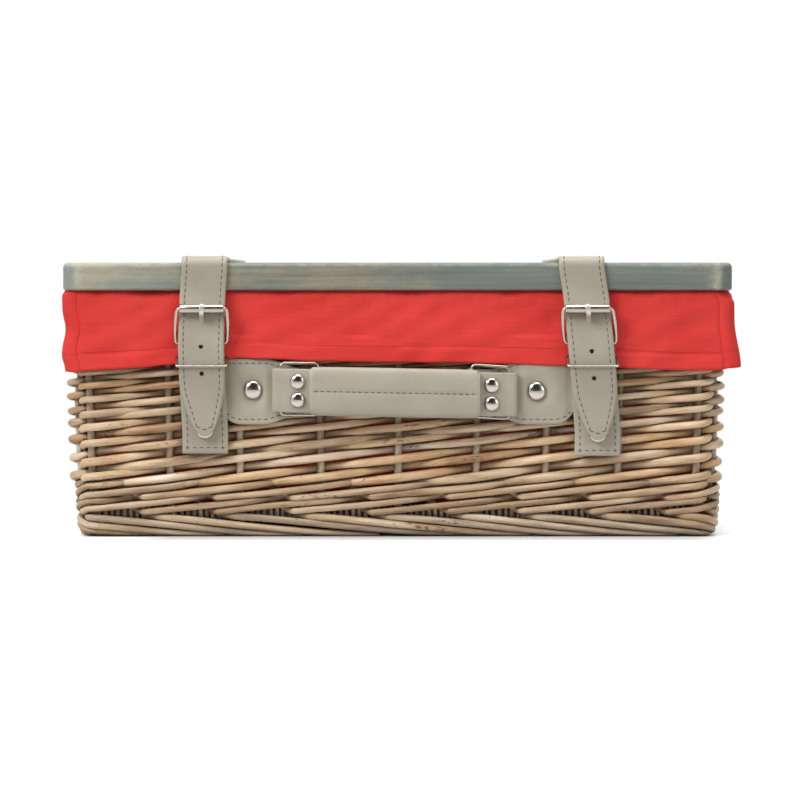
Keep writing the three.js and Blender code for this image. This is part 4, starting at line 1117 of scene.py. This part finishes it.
def pinCutter(x, z, radius, depths):
    rings = [[spot(u, y, v) for u, v in roundPoints(x, z, radius, turns(20))] for y in depths]
    return solid("pin", *lofted(rings), leather, False)


def boxCutter(x, half, depths, heights):
    front, back = depths
    corners = ((x - half, front), (x + half, front), (x + half, back), (x - half, back))
    rings = [[spot(*corner, z) for corner in corners] for z in heights]
    return solid("slot", *lofted(rings), leather, False)


straps = {
    "left": {"x": -117.8, "drop": 0.0, "run": [  # height and place across
        (50, -117.8), (64, -117.8), (92, -119.2), (118, -119.9), (148, -119.0), (165, -117.8),
        (172, -117.8)]},
    "right": {"x": 112.4, "drop": 2.4, "run": [
        (50, 122.4), (64, 122.6), (92, 120.4), (118, 118.0), (148, 115.1), (165, 112.4), (172, 112.4)]},
    "half": 14.0, "thick": 2.8, "top": 170.0, "flat": 147.5, "step": 2.2, "tipStep": 0.45, "tipFrom": 70.0,
    "taper": [(62.2, 0.35), (62.4, 1.9), (63, 3.1), (64, 4.3), (65.6, 5.5), (68.7, 7.2), (71.8, 8.5),
              (75, 9.6), (78, 10.6), (81, 11.4), (84.3, 12.1), (87.4, 13.0), (92, 13.7), (98, 14.0)],
    "holes": [117.1, 100.6], "holeRadius": 1.4, "prongHole": 133.4, "prongHalf": (1.8, 1.3),
    "cut": (-170, -140), "lastSewn": 69.0,
    "tongue": [(-151.7, 163.3), (-151.7, 151.3), (-153.5, 140.1), (-155.1, 129.6), (-156.4, 119.1),
               (-156.1, 105.1), (-153.3, 85.3), (-151.2, 67.0), (-150.7, 62.2)],
    "hinge": [(151.7, 163.3), (151.7, 151.6), (150.6, 130.8), (150.1, 110.0), (146.3, 90.8),
              (145.4, 78.0), (145.4, 62.0)],
}


def strapX(side, z):  # the middle of a strap at a height
    return tableAt(straps[side]["run"], z)


def boardEdgeBend(way, rise):  # over the board's edge, from the top down
    return [(way * (straps["flat"] + 4.2 * math.sin(a)), 165.8 + rise * math.cos(a)) for a in arc(10)]


def blendLeather(parts, start, end):
    for part in parts:
        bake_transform(part)


def tipSeam(tip):  # the seam rounds the tongue's tip
    reach = tip["half"] - strip["grooveIn"] * narrowing(tip["half"])
    lift = tip["out"] * ((straps["thick"] / 2 - strip["sunk"]) * mm)
    points = [tip["centre"] + Vector((reach * c, 0, 2.2 * c * c - 2.4)) * mm + lift
              for c in (-0.75, -0.45, -0.15, 0.15, 0.45, 0.75)]
    return {"points": points, "facing": tip["out"]}


def buildFrontStrap(side):
    drop = straps[side]["drop"]  # the right strap is drawn further down
    xAt = lambda z: strapX(side, z)
    halfAt = lambda z: tableAt(straps["taper"], z + drop)
    line = [(-straps["flat"] * k / 40, straps["top"] + 0.9 * eased((k - 28) / 12)) for k in range(40)]
    line += boardEdgeBend(-1, 5.1)
    down = straps["tongue"][:-2] + [(y, z - drop) for y, z in straps["tongue"][-2:]]
    line += [p for p in smoothLine(down, straps["step"])[1:] if p[1] > straps["tipFrom"]]
    line += [p for p in smoothLine(down, straps["tipStep"]) if p[1] <= straps["tipFrom"]]
    frames = stripFrames(line, xAt, halfAt, straps["thick"])
    piece = leatherStrip(side + "_front_strap", frames, butted=True)
    holes = [z - 1.2 * drop for z in straps["holes"]]
    cutters = [pinCutter(xAt(z), z, straps["holeRadius"], straps["cut"]) for z in holes]
    middle, (wide, high) = straps["prongHole"], straps["prongHalf"]
    cutters.append(boxCutter(xAt(middle), wide, straps["cut"], (middle - high, middle + high)))
    cutHoles(piece, cutters)
    last = next(i for i, p in enumerate(line) if p[1] < straps["lastSewn"] - drop)
    lines = [edgeSeam(frames, way, 1, last) for way in (-1, 1)] + [tipSeam(frames[last])]
    sewn = leatherStitches(side + "_front_strap_stitches", lines)
    blendLeather((piece, sewn), (xAt(170), -141.5, 171.0), (xAt(160), -151.7, 161.0))
    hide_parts(side + "_lid_strap", side + "_strap_tongue")


def buildRearStrap(side):
    x = straps[side]["x"]
    line = [(straps["flat"] * k / 40, straps["top"]) for k in range(40)] + boardEdgeBend(1, 4.2)
    line += smoothLine(straps["hinge"], straps["step"])[1:]
    frames = stripFrames(line, lambda z: x, lambda z: straps["half"], straps["thick"], -1)
    piece = leatherStrip(side + "_rear_strap", frames, butted=True)
    lines = [edgeSeam(frames, way, 0, -3) for way in (-1, 1)]
    lines.append(acrossSeam(frames[-3], straps["thick"] / 2, 10))
    sewn = leatherStitches(side + "_rear_strap_stitches", lines)
    blendLeather((piece, sewn), (x, 151.7, 143.0), (x, 151.7, 160.0))
    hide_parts(side + "_hinge_strap")


for side in pair:
    buildFrontStrap(side)
    buildRearStrap(side)
print("straps ready")

buckleStrap = {
    "line": [(-144.98, 51.3), (-144.98, 71.3), (-147.3, 89.0), (-150.9, 103.3), (-151.6, 110.4),
             (-151.6, 114.4)],
    "bar": (-151.6, 119.1), "leaf": 1.5, "loop": 2.15, "half": 14.0, "lower": 0.6,
    "slotHalf": 2.3, "slotDepths": (-160, -140), "slotHeights": (114.7, 126),
}


def buildBuckleStrap(side):
    (footY, footZ), *rest = buckleStrap["line"]
    middle = smoothLine([(footY, footZ - buckleStrap["lower"] * straps[side]["drop"])] + rest, 2.5)
    (barY, barZ), leaf, loop = buckleStrap["bar"], buckleStrap["leaf"], buckleStrap["loop"]
    line = [(y - leaf / 2, z) for y, z in middle]
    line += roundPoints(barY, barZ, loop, arc(12, math.pi, -math.pi))
    line += [(y + leaf / 2, z) for y, z in reversed(middle)]
    frames = stripFrames(line, lambda z: strapX(side, z), lambda z: buckleStrap["half"], leaf, -1)
    piece = leatherStrip(side + "_buckle_leather", frames, grooved=False)
    slot = (buckleStrap["slotHalf"], buckleStrap["slotDepths"], buckleStrap["slotHeights"])
    cutHoles(piece, [boxCutter(strapX(side, barZ), *slot)])
    sewnFrames = [dict(place, thick=leaf + 2 * strip["sunk"]) for place in frames[1:len(middle) - 3]]
    lines = [edgeSeam(sewnFrames, way, 1) for way in (-1, 1)] + [acrossSeam(sewnFrames[1], leaf / 2, 8)]
    fasten(piece, "hamper", "leather", side + "_buckle_strap")
    fasten(leatherStitches(side + "_buckle_leather_stitches", lines), "hamper", "leather")


for side in pair:
    buildBuckleStrap(side)


# bright wire: buckle frames, keepers and handle rings

def wireLoop(name, corners, corner, radius, place, body, node):  # corners are in the loop's own plane
    loop = []
    for i, here in enumerate(corners):
        here, before, after = (Vector(p) for p in (here, corners[i - 1], corners[(i + 1) % len(corners)]))
        a = here + (before - here).normalized() * corner
        b = here + (after - here).normalized() * corner
        for t in (k / 6 for k in range(7)):
            loop.append(place(*((1 - t) ** 2 * a + 2 * t * (1 - t) * here + t * t * b)))
    piece = rods(name, [{"points": loop, "girth": radius * mm, "tone": 0.5, "closed": True}], nickel, 14)
    fasten(piece, body, "chrome", node)


buckle = {
    "bar": (-151.6, 119.1), "roller": (-158.5, 140.1), "wire": 1.1, "halfFoot": 15.6, "halfMid": 16.1,
    "halfTop": 15.3, "waist": 0.55, "corner": 2.4, "rollSides": 28,
    "roll": [(13.5, 1.45), (13.5, 2.45), (13.35, 2.75), (13.0, 2.9)],  # half of the roller's outline
    "keeperFront": (-158.6, 105.1), "keeperRear": (-149.0, 111.0), "keeperHalf": 15.4, "keeperWire": 0.8,
    "keeperCorner": 1.6, "prongWidth": 3.5, "prongThick": 1.7, "prongCoil": 2.2, "prongTip": 4.4,
}


def linePlace(start, end, share):  # a place on the line between two side-view points
    return mixed(start[0], end[0], share), mixed(start[1], end[1], share)


def prongLine():  # a coil round the bar, then a shank that hooks over the roller
    (barY, barZ), (rollY, rollZ) = buckle["bar"], buckle["roller"]
    coil, tip = buckle["prongCoil"], buckle["prongTip"]
    line = roundPoints(barY, barZ, coil, map(math.radians, range(-30, -211, -20)))
    shank = [(barY - 0.6 * coil, barZ + 1.5 * coil), (barY - 0.4 * coil, mixed(barZ, rollZ, 0.33)),
             (barY - 0.7 * coil, mixed(barZ, rollZ, 0.5)),
             (mixed(barY, rollY, 0.7), mixed(barZ, rollZ, 0.69))]
    shank += roundPoints(rollY, rollZ, tip, map(math.radians, (243, 208, 174, 140)))
    return line + smoothLine(shank, 0.8)


def buildRoller(side):
    rollY, rollZ = buckle["roller"]
    x, count = strapX(side, rollZ), buckle["rollSides"]
    outline = [(-u, r) for u, r in buckle["roll"]] + buckle["roll"][::-1]
    rings = [[spot(x + u, y, z) for y, z in roundPoints(rollY, rollZ, r, turns(count))] for u, r in outline]
    points, faces = lofted(rings, False)
    last = len(points) - count
    faces += [(last + k, last + (k + 1) % count, (k + 1) % count, k) for k in range(count)]  # the bore
    piece = solid(side + "_roller_tube", points, faces, nickel)
    piece.data.set_sharp_from_angle(angle=math.radians(50))
    fasten(piece, side + "_roller", "chrome", side + "_buckle_roller")


def buildProng(side):
    half, thick = buckle["prongWidth"] / 2, buckle["prongThick"]
    frames = stripFrames(prongLine(), lambda z: strapX(side, z), lambda z: half, thick)
    for i, place in enumerate(frames):
        share = i / (len(frames) - 1)
        place["half"] *= mixed(1.0, 0.8, eased((share - 0.5) / 0.5)) * (1 if share < 0.97 else 0.7)
    piece = leatherStrip(side + "_prong_pin", frames, zinc, False)
    fasten(piece, side + "_prong", "chrome", side + "_buckle_prong")


def buildBuckle(side):
    def onLine(start, end):  # u runs across the strap, v from start to end in mm
        deep = math.dist(start, end)

        def place(u, v):
            y, z = linePlace(start, end, v / deep)
            return spot(strapX(side, z) + u, y, z)
        return deep, place

    reach, onFrame = onLine(buckle["bar"], buckle["roller"])
    foot, mid, top = buckle["halfFoot"], buckle["halfMid"], buckle["halfTop"]
    waist = buckle["waist"] * reach
    corners = [(-foot, 0), (foot, 0), (mid, waist), (top, reach), (-top, reach), (-mid, waist)]
    wireLoop(side + "_buckle_wire", corners, buckle["corner"], buckle["wire"], onFrame,
             side + "_buckle", side + "_buckle_frame")
    buildRoller(side)
    buildProng(side)
    deep, onKeeper = onLine(buckle["keeperFront"], buckle["keeperRear"])
    half = buckle["keeperHalf"]
    corners = [(-half, 0), (half, 0), (half, deep), (-half, deep)]
    wireLoop(side + "_keeper_wire", corners, buckle["keeperCorner"], buckle["keeperWire"], onKeeper,
             side + "_keeper", side + "_strap_keeper")


for side in pair:
    buildBuckle(side)
print("buckles ready")


# the handle: tabs, rings, strap ends and the padded grip

handle = {
    "x": -1.7, "z": 90.0, "hang": 0.0186, "hangFrom": 59, "gripHalf": 52.0, "gripHeight": 30.0,
    "gripRear": -150.52, "gripFront": -160.02, "flapHalf": 13.4, "flapLeather": 1.4,
    "tabEnd": {"left": 106.6, "right": 110.4}, "tabTop": (19.8, 5.0), "tabFoot": (20.9, 13.0),
    "tabNeck": 13.3, "tabLoop": 2.05, "tabMid": -145.72, "tabThick": 2.2, "tabRivet": 86.8, "tabSewn": 62,
    "ringInner": (46.8, -147.42), "ringOuter": (70.0, -150.22), "ringHalf": 15.8, "ringCorner": 3.4,
    "ringWire": 1.0, "ringUp": 0.9,
}


def handleLow(x):  # the handle hangs lower towards its right end
    return -handle["hang"] * (x + handle["hangFrom"])


def levelFrame(way, x, y, dx, dy, z, **sizes):  # one place on a strip that runs along the front
    out = Vector((way * dx, dy, 0)).normalized().cross(outTop) * way
    return {"centre": spot(handle["x"] + way * x, y, handle["z"] + z), "across": outTop, "out": out, **sizes}


def tabEdge(x, form, end):  # how far the tab reaches above or below its middle
    half, corner = form
    over = x - (end - corner)
    if over > 0:
        return half - corner + math.sqrt(max(corner * corner - over * over, 0.0))
    return mixed(handle["tabNeck"], half, eased((x - 56) / 24))


def tabDent(x, u):  # pressed in round the rivet, with a ridge towards the ring
    if x < 76:
        return 0.0
    near = math.hypot(x - handle["tabRivet"], u)
    return hump(x - 79.5, 2.2) * hump(u, 13) - 1.3 * hump(near - 3, 4.5) + 0.5 * hump(near - 12.5, 3.5)


def tabLine(end):  # from the loop round the ring, out to the end that is tucked under the buckle strap
    (innerX, innerY), middle, loop = handle["ringInner"], handle["tabMid"], handle["tabLoop"]
    bends = [math.radians(-50 - 20 * k) for k in range(12)]
    line = [(x, y, 1.5) for x, y in roundPoints(innerX, innerY, loop, bends)]
    for k in range(20):
        share = min(k / 3, 1)
        thick = mixed(1.7, handle["tabThick"], share)
        line.append((innerX + 3 + k * 2.0, mixed(-145.5, middle, share), thick))
    x = line[-1][0]
    while x < end - 0.02:
        x = min(x + min(1.6, max(0.15, (end - x) * 0.3)), end)
        line.append((x, middle + 0.7 * eased((x - end + 7) / 4), handle["tabThick"]))
    return line


def buildTab(side, way):
    end = handle["tabEnd"][side]
    line = tabLine(end)
    frames = []
    for (x, y, thick), dx, dy in stepsOf(line):
        above, below = tabEdge(x, handle["tabTop"], end), tabEdge(x, handle["tabFoot"], end)
        shift = (above - below) / 2
        dent = lambda u, x=x, shift=shift: tabDent(x, u + shift)
        frames.append(levelFrame(way, x, y, dx, dy, shift, half=(above + below) / 2, thick=thick, dent=dent))
    piece = leatherStrip(side + "_tab_leather", frames)
    first, last = (next(i for i, p in enumerate(line) if i > 12 and p[0] > place)
                   for place in (handle["tabSewn"], end - strip["grooveIn"]))
    sewn = leatherStitches(side + "_tab_stitches", [edgeSeam(frames, rise, first, last) for rise in (-1, 1)])
    fasten(piece, "hamper", "leather", side + "_handle_tab")
    fasten(sewn, "hamper", "leather")


def buildRing(side, way):
    inner, outer, half = handle["ringInner"], handle["ringOuter"], handle["ringHalf"]
    wide = math.dist(inner, outer)

    def onRing(u, v):
        x, y = linePlace(inner, outer, u / wide)
        low = handleLow(way * x) * mixed(0.5, 1.0, u / wide)
        return spot(handle["x"] + way * x, y, handle["z"] + handle["ringUp"] + low + v)

    wireLoop(side + "_ring_wire", [(0, -half), (wide, -half), (wide, half), (0, half)], handle["ringCorner"],
             handle["ringWire"], onRing, side + "_ring", side + "_handle_ring")


for side, way in pair.items():
    buildTab(side, way)
    buildRing(side, way)

flap = {
    "rear": [(46.0, -152.52), (57.0, -152.5), (60.0, -150.6), (63.0, -148.3), (66.0, -147.82),
             (72.1, -147.82)],
    "front": [(72.1, -152.52), (68.0, -152.75), (63.0, -153.85), (59.0, -153.92), (46.0, -153.92)],
    "turn": (72.15, -150.17), "turnRadius": 2.35, "step": 1.2,
}


def buildFlap(side, way):  # the handle strap's end, turned round the ring
    line = smoothLine(flap["rear"], flap["step"])
    line += roundPoints(*flap["turn"], flap["turnRadius"], arc(10, math.pi / 2, -math.pi)[1:-1])
    line += smoothLine(flap["front"], flap["step"])
    sizes = {"half": handle["flapHalf"], "thick": handle["flapLeather"]}
    frames = [levelFrame(way, x, y, dx, dy, handleLow(way * x), **sizes) for (x, y), dx, dy in stepsOf(line)]
    return leatherStrip(side + "_handle_flap", frames, grooved=False)


fasten(buildFlap("left", -1), "handle", "leather", "handle_strap")
fasten(buildFlap("right", 1), "handle", "leather")

grip = {"rings": 70, "sides": 64, "power": 3.2, "rear": 0.85, "groove": 0.55, "grooveWidth": 1.0, "sewnIn": 4,
        "grooveAngles": (-0.045, -0.025, 0.025, 0.045)}


def gripRing(x):
    half, deep = handle["gripHeight"] / 2, (handle["gripRear"] - handle["gripFront"]) / 2
    fromEnd = handle["gripHalf"] - abs(x)
    pinch = 1 - 0.1 * (1 - eased(fromEnd / 2.2)) - 0.02 * (1 - eased(fromEnd / 14))
    ring = []
    for a in sorted(turns(grip["sides"]) + [math.pi * 1.5 + d for d in grip["grooveAngles"]]):
        c, s = math.cos(a), math.sin(a)
        z = math.copysign(abs(c) ** (2 / grip["power"]), c) * half * pinch
        y = math.copysign(abs(s) ** (2 / grip["power"]), s) * deep * pinch
        if s < 0:
            y += grip["groove"] * hump(z, grip["grooveWidth"]) * eased((fromEnd - 1) / 3)
            y += 0.12 * math.sin(0.35 * x + 0.2 * z) * math.cos(0.13 * x)
        else:
            y *= grip["rear"]
        ring.append(spot(handle["x"] + x, handle["gripFront"] + deep + y, handle["z"] + handleLow(x) + z))
    return ring


def buildGrip():
    rings = [gripRing(-handle["gripHalf"] * math.cos(a)) for a in arc(grip["rings"], 0.0, math.pi)]
    piece = solid("padded_grip", *lofted(rings), leather)
    reach, y = handle["gripHalf"] - grip["sewnIn"], handle["gripFront"] + grip["groove"] - strip["sunk"]
    places = [mixed(-reach, reach, k / 40) for k in range(41)]
    line = [spot(handle["x"] + x, y, handle["z"] + handleLow(x)) for x in places]
    fasten(piece, "handle", "leather", "handle_grip")
    fasten(leatherStitches("grip_stitches", [{"points": line, "facing": outFront}]), "handle", "leather")


buildGrip()
print("handle ready")


# domed and flat rivets

rivets = {
    "rings": 9, "sides": 32, "rim": 0.16, "neck": [(0.86, -0.06), (0.86, 0.08)],  # shares of the head's size
    "wall": (5.4, 5.4, 2.6), "tab": (5.8, 5.8, 3.1), "handle": (4.75, 4.75, 2.8), "lid": (4.0, 4.0, 1.0),
    "handleX": 59.2, "handleRise": 5.6, "lidY": (-60, 118),
}


def rivetHead():
    rim, count = rivets["rim"], rivets["sides"]
    dome = arc(rivets["rings"])[:-1]
    profile = rivets["neck"] + [(math.cos(a), mixed(rim, 1.0, math.sin(a))) for a in dome]
    rings = [[Vector((x, y, z)) for x, y in roundPoints(0.0, 0.0, r, turns(count))] for r, z in profile]
    points, faces = lofted(rings, False)
    top = len(points)
    faces += [(top - count + k, top - count + (k + 1) % count, top) for k in range(count)]
    faces.append(tuple(range(count - 1, -1, -1)))
    return solid("rivetHead", points + [outTop], faces, chrome)


def setRivets(name, body, rows):  # CAD node by node: its place, the way it faces and its size
    head = rivetHead()
    lines = [{"points": [spot(*place)], "facing": facing, "size": Vector(rivets[size]) * mm}
             for place, facing, size in rows.values()]
    piece = grow(name, lines, rivetTree, {"Head": head, "Finish": chrome})
    bpy.data.objects.remove(head)
    fasten(piece, body, "chrome", *rows)


tabRivet, backRivet = handle["tabRivet"], (146.8, 78.0)
setRivets("wall_rivets", "hamper", {
    "left_buckle_strap_rivet": ((strapX("left", 65.4), -146.55, 65.6), outFront, "wall"),
    "right_buckle_strap_rivet": ((strapX("right", 63.2), -146.55, 63.2), outFront, "wall"),
    "left_tab_rivet": ((handle["x"] - tabRivet, -146.2, 90.4), outFront, "tab"),
    "right_tab_rivet": ((handle["x"] + tabRivet, -146.2, 89.7), outFront, "tab"),
    "left_hinge_strap_rivet": ((straps["left"]["x"], *backRivet), outBack, "wall"),
    "right_hinge_strap_rivet": ((straps["right"]["x"], *backRivet), outBack, "wall"),
})
handleRows, lidRows = {}, {}
for side, way in pair.items():
    x = way * rivets["handleX"]
    for level, rise in (("upper", rivets["handleRise"]), ("lower", -rivets["handleRise"])):
        place = (handle["x"] + x, -154.6, handle["z"] + handleLow(x) + rise)
        handleRows[side + "_handle_rivet_" + level] = (place, outFront, "handle")
    for i, y in enumerate(rivets["lidY"], 1):
        lidRows[side + "_lid_strap_rivet_" + str(i)] = ((straps[side]["x"], y, 171.35), outTop, "lid")
setRivets("handle_rivets", "handle", handleRows)
setRivets("lid_rivets", "lid", lidRows)
print("rivets ready")


# studio: pale floor, soft lamps, and the camera straight ahead

studio = {
    "lens": 184.1, "camera": (1.5, -2645.0 - shiftY, 155.0), "pitch": 1.62, "worldGlow": 0.36,
    "target": (0, 0, 0.08), "lamps": {  # place, size and watts
        "key": ((-1.8, -1.75, 1.95), 1.3, 55.0), "fill": ((2.1, -1.9, 0.9), 1.4, 8.0),
        "top": ((0.1, -0.5, 2.3), 1.6, 35.0), "back": ((0.5, 2.3, 1.3), 1.5, 16.0)},
    "floor": 30, "floorGrey": 0.6, "floorLift": 0.62, "floorFar": (0.26, 0.7),
    "card": (2.6, -3.2, 5.0), "cardShades": [(0.3, (0.1, 0.094, 0.092, 1)), (1.0, (0.8, 0.79, 0.77, 1))],
}
white = (1, 1, 1, 1)


def seenRays(tree):  # what the camera sees, also in metal and through glass
    path = addNode(tree, "ShaderNodeLightPath").outputs
    seen = addMath(tree, "MAXIMUM", path["Is Camera Ray"], path["Is Glossy Ray"])
    return addMath(tree, "MAXIMUM", seen, path["Is Transmission Ray"])


def buildCamera(scene):
    camera = bpy.data.cameras.new("camera")
    camera.lens, camera.sensor_width, camera.clip_end = studio["lens"], 36, 100
    eye = newObject("camera", camera)
    eye.location = spot(*studio["camera"])
    eye.rotation_euler = (math.radians(90 - studio["pitch"]), 0, 0)
    scene.camera = eye


def buildLamps():
    for name, (place, size, power) in studio["lamps"].items():
        lamp = bpy.data.lights.new(name, "AREA")
        lamp.shape, lamp.size, lamp.energy = "SQUARE", size, power
        holder = newObject(name, lamp)
        holder.location = place
        holder.rotation_euler = (Vector(studio["target"]) - Vector(place)).to_track_quat("-Z", "Y").to_euler()


def buildWorld(scene):
    scene.world = bpy.data.worlds.new("studio")
    scene.world.use_nodes = True
    tree = scene.world.node_tree
    tree.nodes.clear()
    glow, seen = (addNode(tree, "ShaderNodeBackground", {"Color": white, "Strength": strength})
                  for strength in (studio["worldGlow"], 1.0))
    both = addNode(tree, "ShaderNodeMixShader", {0: seenRays(tree), 1: glow, 2: seen})
    addNode(tree, "ShaderNodeOutputWorld", {"Surface": both})


def sheetOf(name, corners, finish):
    return meshObject(name, corners, [(0, 1, 2, 3)], finish, False)


def buildFloor():
    finish, tree = newFinish("paleFloor")
    grey = studio["floorGrey"]
    dress(finish, Base_Color=(grey, grey, grey, 1), Roughness=0.9, Specular_IOR_Level=0.1)
    seen, place = seenRays(tree), objectPlace(tree)
    across, deep = splitUp(tree, place)[0], splitUp(tree, place)[1]
    # the floor glows white for seen rays away from the hamper; near its foot the glow fades, so the grey band
    # there is painted shadow besides the real one
    front = scaled(tree, addMath(tree, "ABSOLUTE", deep), 1.0, -0.142)
    aside = addMath(tree, "ABSOLUTE", scaled(tree, across, 1.0, -0.02))
    aside = scaled(tree, scaled(tree, aside, 1.0, -0.152), 1.7)
    clear = ranged(tree, addMath(tree, "MAXIMUM", aside, front), -0.004, 0.075)
    beside = scaled(tree, addMath(tree, "ABSOLUTE", across), 1.0, -0.196)
    beside = addMath(tree, "MAXIMUM", beside, front)
    beside = ranged(tree, beside, -0.006, 0.002, kind="LINEAR")  # no lift under the hamper
    lift = scaled(tree, addMath(tree, "MULTIPLY", clear, beside), studio["floorLift"])
    lift = addMath(tree, "MULTIPLY", seen, lift)
    lift = addNode(tree, "ShaderNodeEmission", {"Color": white, "Strength": lift})
    near = addNode(tree, "ShaderNodeAddShader", {0: tree.nodes["Principled BSDF"], 1: lift})
    far = addNode(tree, "ShaderNodeEmission", {"Color": white, "Strength": seen})
    fade = ranged(tree, lengthOf(tree, place), *studio["floorFar"])
    both = addNode(tree, "ShaderNodeMixShader", {0: fade, 1: near, 2: far})
    feed(tree, tree.nodes["Material Output"].inputs["Surface"], both)
    half = studio["floor"]
    return sheetOf("floor", [(-half, -half, 0), (half, -half, 0), (half, half, 0), (-half, half, 0)], finish)


def buildCard():  # a dark card behind the camera, for the metal to reflect
    finish, tree = newFinish("darkCard")
    middle = addMapping(tree, objectPlace(tree), (0, 0, -0.4), (0.42, 0.0, 0.25))
    dress(finish, Base_Color=addRamp(tree, lengthOf(tree, middle), studio["cardShades"]), Roughness=0.9)
    half, y, high = studio["card"]
    card = sheetOf("card", [(-half, y, 0.0), (half, y, 0.0), (half, y, high), (-half, y, high)], finish)
    for kind in ("camera", "diffuse", "transmission", "shadow"):
        setattr(card, "visible_" + kind, False)
    return card


def buildStudio():
    scene = bpy.context.scene
    scene.view_settings.view_transform = "Standard"
    buildCamera(scene)
    buildLamps()
    buildWorld(scene)
    buildFloor()
    buildCard()


buildStudio()

print("studio ready")
